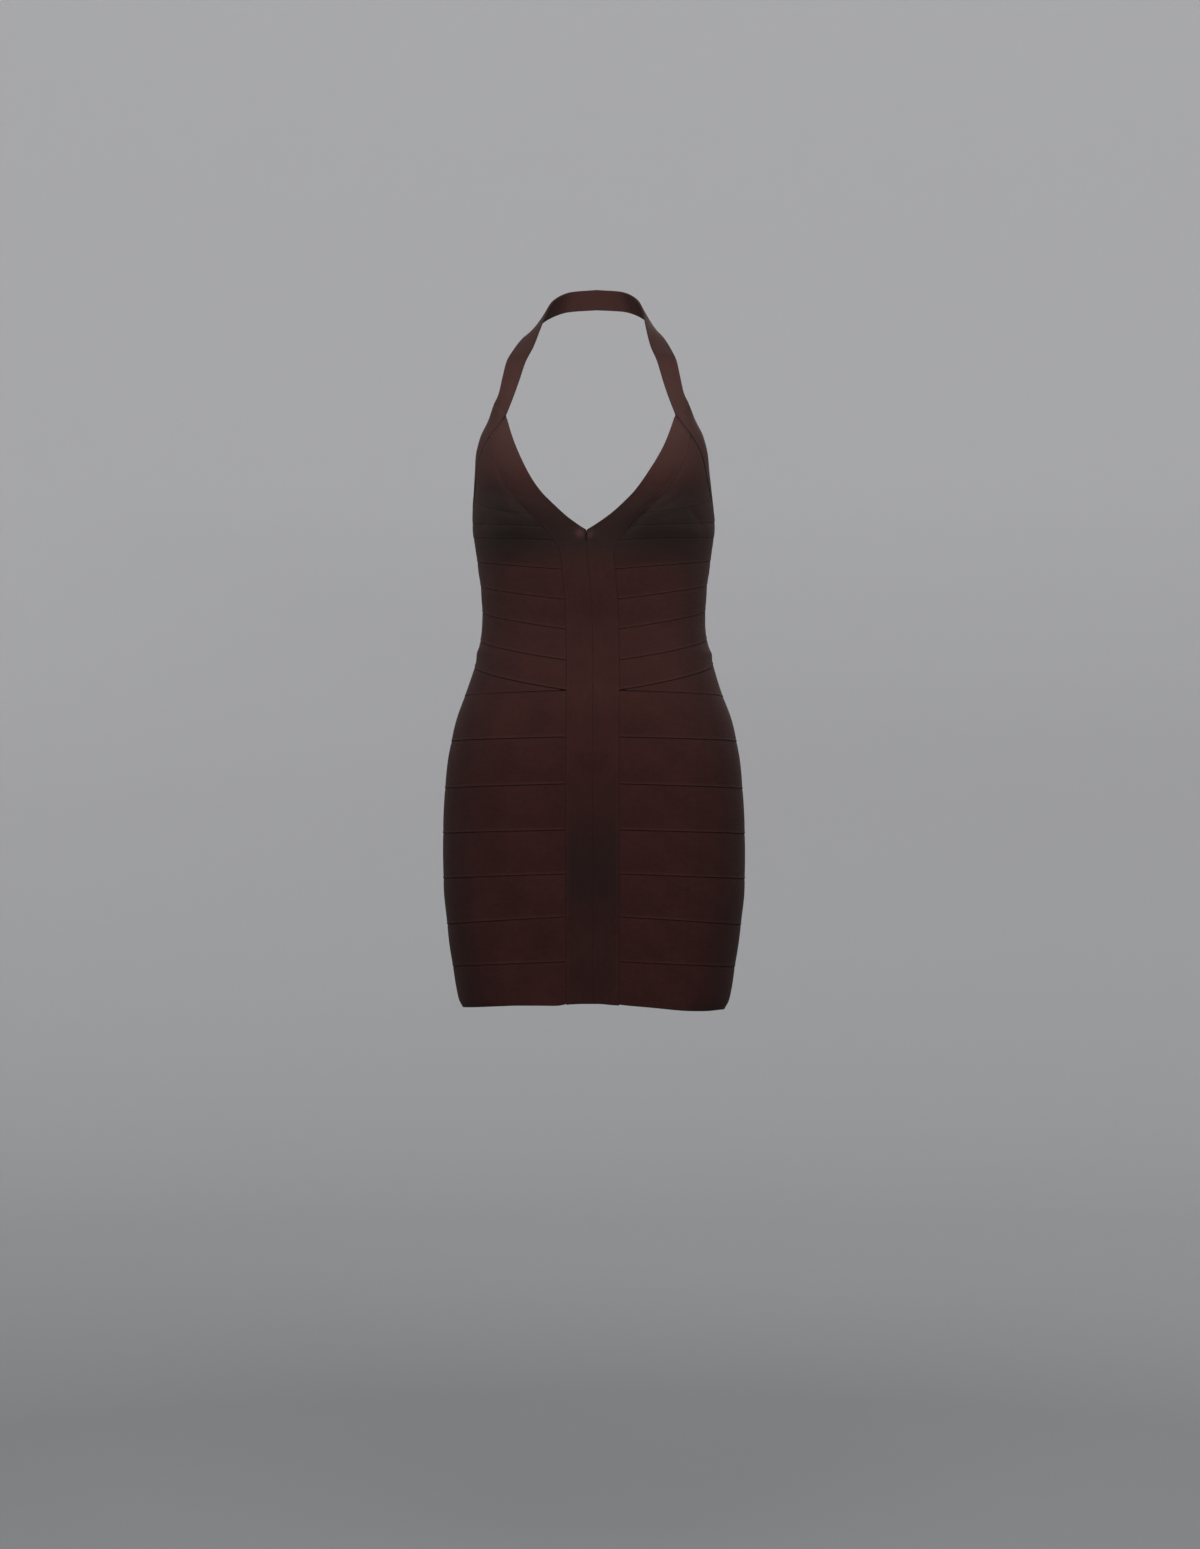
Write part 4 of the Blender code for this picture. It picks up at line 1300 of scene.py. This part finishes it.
@dataclass
class SeamPlan:
    """Where every seam of the dress runs."""

    form: WornForm
    bust: BustPanels
    step: float = 3.0 * MM
    arm_seam_length: float = 0.11
    hem_space: float = 1.0 * MM  # how far the stitches stop short of the hem
    point_space: float = 2.0 * MM  # the same for the point of the V
    fewest: int = 4

    def rings(self) -> list[SeamPath]:
        """Follow the seams that go round the body from one front band to the other.

        Returns:
            One path a seam.
        """
        paths = []
        for seam in SEAMS[1:-1]:
            share, side = both_halves(np.linspace(seam.first_share, BACK_SHARE, self._count(HALF_ROUND)))
            z = seam(share)
            paths.append(SeamPath(self.form.share_walk(share, z) * side, z, seam.firmness))
        return paths

    def fronts(self) -> list[SeamPath]:
        """Follow the front bands' outer seams and the centre seam between them.

        Returns:
            One path a seam.
        """
        low_z = HEM.front_z + self.hem_space
        count = self._count(NECK_SEAM_TOP_Z - low_z)
        z = np.linspace(low_z, NECK_SEAM_TOP_Z, count)
        walk = self.form.line(Line.SEAM, z)
        centre = np.linspace(low_z, POINT_OF_V_Z - self.point_space, count)
        sides = [SeamPath(side.value * walk, z, FRONT_BAND_FIRMNESS) for side in Side]
        return [*sides, SeamPath(centre * 0.0, centre, CENTRE_FIRMNESS)]

    def busts(self) -> list[SeamPath]:
        """Follow the seams of the cups and the straps, on both sides.

        Returns:
            One path a seam.
        """
        form = self.form
        share = np.linspace(0.0, 1.0, self._count(self.bust.usual_width))[:, None]
        arc, under = (np.stack(self.bust.settled(share, share * 0.0, panel))[..., 0] for panel in Panel)
        end_z = float(under[1, -1])
        z = np.linspace(NECK_BAND_TOP_Z, end_z, self._count(self.arm_seam_length))
        arm = (form.line(Line.ARM, z), z)
        walk = form.line(Line.ARM, np.array(end_z)) + np.linspace(0.0, STRAP_WIDTH, self._count(STRAP_WIDTH))
        foot = (walk, UNDER_CUP_TOP(form.share_at(walk, np.full(walk.shape, end_z))))
        lines = (
            (arc, CUP_FIRMNESS), (under, UNDER_CUP_TOP.firmness),
            (arm, STRAP_FIRMNESS), (foot, UNDER_CUP_TOP.firmness),
        )
        return [SeamPath(walk * side.value, z, firm) for (walk, z), firm in lines for side in Side]

    def _count(self, length: float) -> int:
        """Tell how many points a path of some length needs."""
        return max(int(abs(length) / self.step), self.fewest)


@dataclass(frozen=True)
class StitchRow:
    """One kind of stitching: how long its stitches are, how thick, and how deep they lie."""

    pitch: float
    stitch: float
    thread: float
    depth: float
    deeper: float = 0.0  # how much further in a seam of full firmness takes it


LINKING = StitchRow(3.1 * MM, 2.5 * MM, 0.20 * MM, 0.12 * MM, 0.28 * MM)
INNER_CHAIN = StitchRow(4.0 * MM, 4.8 * MM, 0.50 * MM, WALL + 0.40 * MM)


@dataclass
class SeamSewing:
    """The thread that joins the bands: a sunk row outside each seam and a chain inside it."""

    maker: Dressmaker
    material: bpy.types.Material
    ring_sides: int = 4
    spread: tuple[float, ...] = (-0.5, -0.3, 0.3, 0.5)  # four points along a stitch, as shares of it
    dip: tuple[float, ...] = (-0.9, 0.25, 0.25, -0.9)  # how far each stands out, in radii of the thread
    tip: float = 0.45  # how thick a stitch is at its ends, as a share of its middle
    aslant: tuple[float, ...] = (0.31, 0.22, 0.92)  # a direction that no stitch runs along
    tack_z: float = -0.2665
    tack_stitches: int = 6
    tack_pitch: float = 1.3 * MM
    tack_width: float = 3.4 * MM
    tack_dip: tuple[float, ...] = (-0.9, 0.3, 0.3, -0.9)
    tack_hug: tuple[float, ...] = (1.0, 0.6, 0.6, 1.0)  # how closely its points follow the creases

    def sew(self, name: str, row: StitchRow, paths: Sequence[SeamPath]) -> bpy.types.Object:
        """Sew a group of seams with one joined mesh of stitches.

        Args:
            name: the piece's name.
            row: the kind of stitching.
            paths: the seams.

        Returns:
            The object.
        """
        threads = np.concatenate([self._stitches(row, path) for path in paths])
        return self._tubes(name, threads, row.thread)

    def tack(self, name: str) -> bpy.types.Object:
        """Sew the short bar tack that holds the point of the V.

        Args:
            name: the piece's name.

        Returns:
            The object.
        """
        order = np.arange(self.tack_stitches) - (self.tack_stitches - 1) / 2
        z, walk = np.meshgrid(
            self.tack_z + order * self.tack_pitch, np.array(self.spread) * self.tack_width, indexing="ij"
        )
        lift = self.maker.drape.push(walk, z) * self.tack_hug + np.array(self.tack_dip) * LINKING.thread
        base, normal = self.maker.form.place(walk, z), self.maker.form.facing(walk, z)
        return self._tubes(name, base + normal * lift[..., None], LINKING.thread)

    def _stitches(self, row: StitchRow, path: SeamPath) -> Array:
        """Place the stitches of one seam.

        Args:
            row: the kind of stitching.
            path: the seam.

        Returns:
            Stitches by four points along the thread by three.
        """
        form = self.maker.form
        normal = form.facing(path.walk, path.z)
        sunk = self.maker.drape.push(path.walk, path.z) - row.depth - row.deeper * path.firmness
        line = form.place(path.walk, path.z) + normal * sunk[:, None]
        run = running(lengths(np.diff(line, axis=0))[:, 0])
        count = int(run[-1] / row.pitch)
        middle = (np.arange(count) + 0.5) * run[-1] / count
        at = np.clip(middle[:, None] + np.array(self.spread) * row.stitch, 0.0, run[-1])
        points, out = (
            np.stack([np.interp(at, run, column) for column in rows.T], axis=-1) for rows in (line, normal)
        )
        return points + out * (np.array(self.dip) * row.thread)[:, None]

    def _tubes(self, name: str, paths: Array, radius: float) -> bpy.types.Object:
        """Make many short threads as one mesh.

        Args:
            name: the piece's name.
            paths: threads by points by three.
            radius: the thread's radius in its middle.

        Returns:
            The object, tied to the dress.
        """
        count, stations = paths.shape[:2]
        along = np.gradient(paths, axis=1)
        along /= np.maximum(lengths(along), TINY)
        aside = np.cross(along, np.array(self.aslant))
        aside /= np.maximum(lengths(aside), TINY)
        other = np.cross(along, aside)
        thick = np.full(stations, radius)
        thick[[0, -1]] *= self.tip
        turns = 2 * math.pi * np.arange(self.ring_sides) / self.ring_sides
        rings = [paths + (aside * math.cos(a) + other * math.sin(a)) * thick[None, :, None] for a in turns]
        index = np.arange(count * stations * self.ring_sides).reshape(count, stations, self.ring_sides)
        beside = np.roll(index, -1, axis=2)
        wall = quads(index[:, :-1], beside[:, :-1], beside[:, 1:], index[:, 1:])
        faces = np.concatenate((wall, index[:, 0, ::-1], index[:, -1]))
        thing = add_object(name, np.stack(rings, axis=2).reshape(-1, 3), faces, self.material)
        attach(thing, BODY)
        LOG.info("%s: %d stitches", name, count)
        return thing


def linear(hex_colour: str) -> tuple[float, float, float, float]:
    """Turn an sRGB hex colour into the linear values that a shader takes.

    Args:
        hex_colour: the colour, as "#rrggbb".

    Returns:
        Red, green, blue and full alpha.
    """
    parts = (int(hex_colour[k : k + 2], 16) / 255 for k in (1, 3, 5))
    red, green, blue = (c / 12.92 if c <= 0.04045 else ((c + 0.055) / 1.055) ** 2.4 for c in parts)
    return red, green, blue, 1.0


def node(material: bpy.types.Material, kind: str, settings: dict[str, object] | None = None,
         inputs: dict[str | int, object] | None = None) -> bpy.types.Node:
    """Add a shader node with its settings, values and links.

    Args:
        material: the material that it goes in.
        kind: the node's type, without what all types start with.
        settings: the node's own properties.
        inputs: a value or another node's output for each named or numbered input.

    Returns:
        The node.
    """
    tree = material.node_tree
    made = tree.nodes.new("ShaderNode" + kind)
    for name, value in (settings or {}).items():
        setattr(made, name, value)
    for name, value in (inputs or {}).items():
        socket = made.inputs[name]
        if isinstance(value, bpy.types.NodeSocket):
            tree.links.new(value, socket)
        else:
            socket.default_value = value
    return made


def blank_material(name: str) -> bpy.types.Material:
    """Make a material whose node tree is empty.

    Args:
        name: its name.

    Returns:
        The material.
    """
    material = bpy.data.materials.new(name)
    material.use_nodes = True
    material.node_tree.nodes.clear()
    return material


MIX_FIRST, MIX_SECOND, MIXED = 6, 7, 2  # the colour sockets of a mix, two in and one out


class Noise(NamedTuple):
    """A noise: how fine it is, how many finer layers it has and how strong they are."""

    scale: float
    detail: float
    roughness: float


class Spread(NamedTuple):
    """The range of a value that counts, and the range that it is spread out to."""

    low: float
    high: float
    to_low: float = 0.0
    to_high: float = 1.0


@dataclass(frozen=True)
class BandKnit:
    """Rayon and elastane ribbed band knit, heat-set: dense, matt, with a faint grey bloom."""

    name: str = "rayon_elastane_rib_knit"
    ground: str = "#281210"
    lit: str = "#361b18"
    # painted shade down the centre front between the legs
    leg_shade_tint: str = "#241513"
    stretched: str = "#281e1b"  # painted shade under the bust, a duller and greyer brown
    relaxed: str = "#4a322e"  # painted light on the upper chest and strap, and painted highlights beside the bar tack
    # painted shade in the seams' cracks
    groove: str = "#170d0c"
    # painted highlight along the crest of each seam's lip, where it would catch the light
    lip_highlight: str = "#553935"
    lip_highlight_share: float = 0.08
    roughness: float = 0.88
    specular: float = 0.11
    sheen: float = 0.06
    sheen_roughness: float = 0.55
    sheen_tint: str = "#b9a8a4"
    rib_pitch: float = 1.8 * MM  # really about 1 mm, drawn coarser so that it shows
    stitch_pitch: float = 1.4 * MM  # really about 0.7 mm, for the same reason
    rib_height: float = 0.10 * MM
    stitch_relief: float = 0.45  # how high the stitches stand, against the ribs
    yarn_relief: float = 0.70  # the same for the hairs of the yarn
    groove_shade: float = 0.42
    slant_shade: float = 0.70  # painted shade at the sides: how much darker the cloth is made where it turns away from the eye
    yarn: Noise = Noise(900.0, 2.0, 0.60)
    fleck: Noise = Noise(170.0, 2.0, 0.70)
    cloud: Noise = Noise(26.0, 3.0, 0.55)  # slow changes in the dye
    seam_noise: Noise = Noise(13.0, 3.0, 0.60)  # seams that show more in one place than in another
    fleck_share: float = 0.50  # how much the flecks count, against the clouds
    relief_share: float = 0.32  # the same for the relief, which paints shade into the hollows between ribs and stitches
    lightness: Spread = Spread(0.80, 1.45)  # from the darkest yarn, with painted shade in the rib hollows, to the lightest
    seam_depth: Spread = Spread(0.38, 0.62, 0.3, 1.4)  # from the faintest to the firmest seam
    slant: Spread = Spread(0.05, 0.40)  # from facing the eye to turned away

    def material(self) -> bpy.types.Material:
        """Make the knit: ribs along each band, stitches across them, yarn variation, and painted light and
        shade.

        Returns:
            The material.
        """
        made = blank_material(self.name)
        place = node(made, "Attribute", {"attribute_name": "weave"}).outputs["Vector"]
        groove, nap, stretched, relaxed, ridge = (
            node(made, "Attribute", {"attribute_name": name}).outputs["Fac"]
            for name in ("groove", "nap", "stretched", "relaxed", "ridge")
        )
        yarn, fleck, cloud, uneven = (
            node(made, "TexNoise", inputs={
                "Vector": place, "Scale": noise.scale, "Detail": noise.detail, "Roughness": noise.roughness,
            }).outputs["Fac"]
            for noise in (self.yarn, self.fleck, self.cloud, self.seam_noise)
        )
        split = node(made, "SeparateXYZ", inputs={0: place})
        waves = []
        for axis, pitch in (("X", self.stitch_pitch), ("Y", self.rib_pitch)):
            value = split.outputs[axis]
            for operation, other in (("MULTIPLY", math.pi / pitch), ("SINE", 0.0), ("ABSOLUTE", 0.0)):
                value = node(made, "Math", {"operation": operation}, {0: value, 1: other}).outputs[0]
            waves.append(value)
        stitch, relief = waves
        for value, share in ((stitch, self.stitch_relief), (yarn, self.yarn_relief)):
            inputs = {0: value, 1: share, 2: relief}
            relief = node(made, "Math", {"operation": "MULTIPLY_ADD"}, inputs).outputs[0]
        light = cloud
        for value, share in ((fleck, self.fleck_share), (relief, self.relief_share)):
            inputs = {0: value, 1: share, 2: light}
            light = node(made, "Math", {"operation": "MULTIPLY_ADD"}, inputs).outputs[0]
        facing = node(made, "LayerWeight", inputs={"Blend": 0.5}).outputs["Facing"]
        shade, depth, slant = (
            node(made, "MapRange", {"interpolation_type": kind}, {
                "Value": value, "From Min": spread.low, "From Max": spread.high,
                "To Min": spread.to_low, "To Max": spread.to_high,
            }).outputs["Result"]
            for value, spread, kind in (
                (light, self.lightness, "LINEAR"), (uneven, self.seam_depth, "LINEAR"),
                (facing, self.slant, "SMOOTHSTEP"),
            )
        )
        seam, pale = (
            node(made, "Math", {"operation": "MULTIPLY"}, {0: value, 1: share}).outputs[0]
            for value, share in ((groove, self.groove_shade), (ridge, self.lip_highlight_share))
        )
        sunk = node(made, "Math", {"operation": "MULTIPLY"}, {0: seam, 1: depth}).outputs[0]
        turned_away = (self.slant_shade,) * 3 + (1.0,)
        colour = linear(self.ground)
        for factor, tint, blending in (
            (shade, linear(self.lit), "MIX"), (stretched, linear(self.stretched), "MIX"),
            (relaxed, linear(self.relaxed), "MIX"), (nap, linear(self.leg_shade_tint), "MIX"),
            (sunk, linear(self.groove), "MIX"), (pale, linear(self.lip_highlight), "MIX"),
            (slant, turned_away, "MULTIPLY"),
        ):
            settings = {"data_type": "RGBA", "blend_type": blending}
            inputs = {0: factor, MIX_FIRST: colour, MIX_SECOND: tint}
            colour = node(made, "Mix", settings, inputs).outputs[MIXED]
        bump = node(made, "Bump", inputs={"Height": relief, "Strength": 1.0, "Distance": self.rib_height})
        shader = node(made, "BsdfPrincipled", inputs={
            "Base Color": colour, "Roughness": self.roughness, "Specular IOR Level": self.specular,
            "Sheen Weight": self.sheen, "Sheen Roughness": self.sheen_roughness,
            "Sheen Tint": linear(self.sheen_tint), "Normal": bump.outputs["Normal"],
        })
        node(made, "OutputMaterial", inputs={"Surface": shader.outputs["BSDF"]})
        return made


@dataclass(frozen=True)
class SewingThread:
    """Spun polyester sewing thread, dyed to match: dull, with a faint twist along it."""

    name: str = "spun_polyester_thread"
    ground: str = "#1c100f"
    lit: str = "#2a1816"
    roughness: float = 0.75
    specular: float = 0.20
    twist_scale: float = 100.0  # a turn of the ply every 6.3 mm, really about 1 mm, so that it shows
    relief: float = 0.05 * MM

    def material(self) -> bpy.types.Material:
        """Make the thread: a ply twist in shade and relief.

        Returns:
            The material.
        """
        made = blank_material(self.name)
        place = node(made, "TexCoord").outputs["Object"]
        ply = node(
            made, "TexWave", {"bands_direction": "DIAGONAL"},
            {"Vector": place, "Scale": self.twist_scale, "Distortion": 1.0},
        ).outputs["Fac"]
        tints = {0: ply, MIX_FIRST: linear(self.ground), MIX_SECOND: linear(self.lit)}
        colour = node(made, "Mix", {"data_type": "RGBA"}, tints).outputs[MIXED]
        bump = node(made, "Bump", inputs={"Height": ply, "Distance": self.relief})
        shader = node(made, "BsdfPrincipled", inputs={
            "Base Color": colour, "Roughness": self.roughness, "Specular IOR Level": self.specular,
            "Normal": bump.outputs["Normal"],
        })
        node(made, "OutputMaterial", inputs={"Surface": shader.outputs["BSDF"]})
        return made


def stand(name: str, data: bpy.types.ID, place: Vector, look: Vector) -> bpy.types.Object:
    """Put a light or a camera in the scene.

    Args:
        name: its name.
        data: the light or the lens.
        place: where it is.
        look: the direction that it looks in.

    Returns:
        The object.
    """
    thing = bpy.data.objects.new(name, data)
    thing.location = place
    thing.rotation_euler = look.to_track_quat("-Z", "Y").to_euler()
    bpy.context.scene.collection.objects.link(thing)
    return thing


class Lamp(NamedTuple):
    """A soft square light that looks at a point."""

    name: str
    place: tuple[float, float, float]
    target: tuple[float, float, float]
    size: float
    watts: float


@dataclass
class Studio:
    """A pale cove all round, soft light from above and in front, and the camera."""

    floor_z: float = -1.46
    wall_radius: float = 5.2
    cove_radius: float = 1.6
    wall_height: float = 3.3
    corner_steps: int = 12
    segments: int = 96
    floor_share: float = 0.6  # share of the paper's shading that runs out along the floor
    paper_shade_ramp: tuple[tuple[float, str], ...] = (
        (0.17, "#868789"), (0.39, "#a9aaab"), (0.53, "#bfc0c1"), (0.68, "#d4d4d5"), (0.80, "#ebebec"),
    )
    lamps: tuple[Lamp, ...] = (
        Lamp("key", (0.05, -2.0, 1.0), (0.0, -0.05, -0.35), 1.6, 42.5),
        Lamp("back", (0.6, 2.4, 2.1), (0.0, 0.0, -0.4), 1.8, 40.0),
        Lamp("bounce_right", (0.31, -0.13, -0.29), (0.0, -0.05, -0.30), 0.22, 0.12),
        Lamp("bounce_left", (-0.31, -0.13, -0.29), (0.0, -0.05, -0.30), 0.22, 0.12),
    )
    paper_roughness: float = 0.95
    sky: str = "#f9f9fa"
    sky_strength: float = 0.54
    aim: tuple[float, float, float] = (0.0, -0.055, -0.5127)
    distance: float = 3.5
    azimuth: float = 2.7  # degrees round toward +X
    offset: float = 0.0064  # sideways, along with what the camera looks at
    lens: float = 76.46
    sensor: float = 36.0

    def build(self) -> None:
        """Make the backdrop, the lights, the sky and the camera."""
        self._cove()
        for lamp in self.lamps:
            self._light(lamp)
        world = bpy.data.worlds.new("even_sky")
        bpy.context.scene.world = world
        world.use_nodes = True
        sky = world.node_tree.nodes["Background"]
        sky.inputs["Color"].default_value = linear(self.sky)
        sky.inputs["Strength"].default_value = self.sky_strength
        self._camera()

    def _cove(self) -> None:
        """Turn the floor, its rounded corner and the wall as one sheet."""
        flat = self.wall_radius - self.cove_radius
        profile = [(0.0, self.floor_z), (flat, self.floor_z)]
        for k in range(1, self.corner_steps + 1):
            turn = math.radians(90.0) * k / self.corner_steps
            rise = self.cove_radius * (1.0 - math.cos(turn))
            profile.append((flat + self.cove_radius * math.sin(turn), self.floor_z + rise))
        profile.append((self.wall_radius, self.floor_z + self.wall_height))
        turns = np.linspace(0.0, 2 * math.pi, self.segments + 1)[:-1]
        points = [(out * math.cos(a), AXIS_Y + out * math.sin(a), z) for out, z in profile for a in turns]
        index = np.arange(len(points)).reshape(len(profile), self.segments)
        beside = np.roll(index, -1, axis=1)
        faces = quads(index[:-1], beside[:-1], beside[1:], index[1:])
        add_object("studio_cove", np.array(points), faces, self._paper())

    def _paper(self) -> bpy.types.Material:
        """Make matt backdrop paper with its shade painted on: pale grey on the wall, deeper on the floor
        towards the middle.

        Returns:
            The material.
        """
        made = blank_material("matt_backdrop_paper")
        place = node(made, "NewGeometry").outputs["Position"]
        split = node(made, "SeparateXYZ", inputs={0: place}).outputs
        level = node(made, "CombineXYZ", inputs={0: split["X"], 1: split["Y"]}).outputs[0]
        reach = node(made, "VectorMath", {"operation": "LENGTH"}, {0: level}).outputs["Value"]
        top_z = self.floor_z + self.wall_height
        out, up = (
            node(
                made, "MapRange", {"clamp": False},
                {"Value": value, "From Min": low, "From Max": high, "To Max": share},
            ).outputs["Result"]
            for value, low, high, share in (
                (reach, 0.0, self.wall_radius, self.floor_share),
                (split["Z"], self.floor_z, top_z, 1.0 - self.floor_share),
            )
        )
        way = node(made, "Math", {"operation": "ADD"}, {0: out, 1: up}).outputs[0]
        shade = node(made, "ValToRGB", inputs={0: way})
        stops = shade.color_ramp.elements
        while len(stops) < len(self.paper_shade_ramp):
            stops.new(1.0)
        for stop, (at, hex_colour) in zip(stops, self.paper_shade_ramp):
            stop.position = at
            stop.color = linear(hex_colour)
        inputs = {"Base Color": shade.outputs["Color"], "Roughness": self.paper_roughness}
        shader = node(made, "BsdfPrincipled", inputs=inputs)
        node(made, "OutputMaterial", inputs={"Surface": shader.outputs["BSDF"]})
        return made

    @staticmethod
    def _light(lamp: Lamp) -> None:
        """Hang one light, unseen by the camera.

        Args:
            lamp: the light.
        """
        light = bpy.data.lights.new(lamp.name, "AREA")
        light.size = lamp.size
        light.energy = lamp.watts
        place = Vector(lamp.place)
        stand(lamp.name, light, place, Vector(lamp.target) - place).visible_camera = False

    def _camera(self) -> None:
        """Set the camera level, a little to the +X side, at the height of the hips."""
        turn = math.radians(self.azimuth)
        right = Vector((math.cos(turn), math.sin(turn), 0.0))
        ahead = Vector((-math.sin(turn), math.cos(turn), 0.0))
        lens = bpy.data.cameras.new("camera")
        lens.lens = self.lens
        lens.sensor_width = self.sensor
        place = Vector(self.aim) - ahead * self.distance + right * self.offset
        bpy.context.scene.camera = stand("camera", lens, place, ahead)
        bpy.context.scene.view_settings.view_transform = "Standard"


class Cut(NamedTuple):
    """The flat strip that a piece is cut from."""

    width: float
    length: float
    area: float

    @classmethod
    def of(cls, grid: ClothGrid) -> "Cut":
        """Work out the cut that a worn piece comes from.

        Args:
            grid: the piece.

        Returns:
            The strip that it is cut from.
        """
        down, round_it = np.diff(grid.outer, axis=0), np.diff(grid.outer, axis=1)
        area = float(lengths(np.cross(down[:, :-1], round_it[:-1])).sum()) / STRETCH
        both = enumerate((down, round_it))
        short, long = sorted(float(lengths(steps)[..., 0].sum(axis=axis).max()) for axis, steps in both)
        return cls(short, max(long / STRETCH, area / short), area)

    def alike(self, twin: "Cut") -> "Cut":
        """Give a piece and its twin one cut, halfway between what the two measure as worn."""
        decimals = Cut(4, 4, 5)
        return Cut(*(round((mine + other) / 2.0, kept) for mine, other, kept in zip(self, twin, decimals)))


def twin_of(name: str) -> str:
    """Name the same piece on the other side, or the piece itself where it has no twin."""
    swap = {"left": "right", "right": "left"}
    return "_".join(swap.get(word, word) for word in name.split("_"))


def finish_piece(grid: ClothGrid, material: bpy.types.Material, cut: Cut) -> bpy.types.Object:
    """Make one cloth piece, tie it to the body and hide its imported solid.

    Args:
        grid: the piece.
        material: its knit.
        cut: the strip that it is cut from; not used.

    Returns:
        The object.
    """
    thing = grid.shell(material)
    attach(thing, BODY)
    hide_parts(grid.name)
    LOG.info("%s: %d points", thing.name, len(thing.data.vertices))
    return thing


def main() -> None:
    """Build the dress piece by piece, then the studio."""
    logging.basicConfig(level=logging.INFO, format="%(message)s")
    form = WornForm()
    maker = Dressmaker(form, Drape(form))
    knit = BandKnit().material()
    rings, bust, fronts = BandRings(maker), BustPanels(maker), FrontBands(maker)
    grids = [rings.build(*band) for band in zip(RING_NAMES, SEAMS, SEAMS[1:])]
    for side in Side:
        grids += [bust.build(Panel.BAND, side), bust.build(Panel.CUP, side), fronts.build(side)]
    grids.append(HalterStrap(maker, bust).build())
    cuts = {grid.name: Cut.of(grid) for grid in grids}
    for grid in grids:
        finish_piece(grid, knit, cuts[grid.name].alike(cuts[twin_of(grid.name)]))
    plan = SeamPlan(form, bust)
    sewing = SeamSewing(maker, SewingThread().material())
    for name, paths in {"ring": plan.rings(), "front": plan.fronts(), "bust": plan.busts()}.items():
        sewing.sew(f"{name}_seam_linking", LINKING, paths)
        sewing.sew(f"{name}_seam_inner_chain", INNER_CHAIN, paths)
    sewing.tack("v_point_bar_tack")
    Studio().build()


if __name__ == "__main__":
    main()
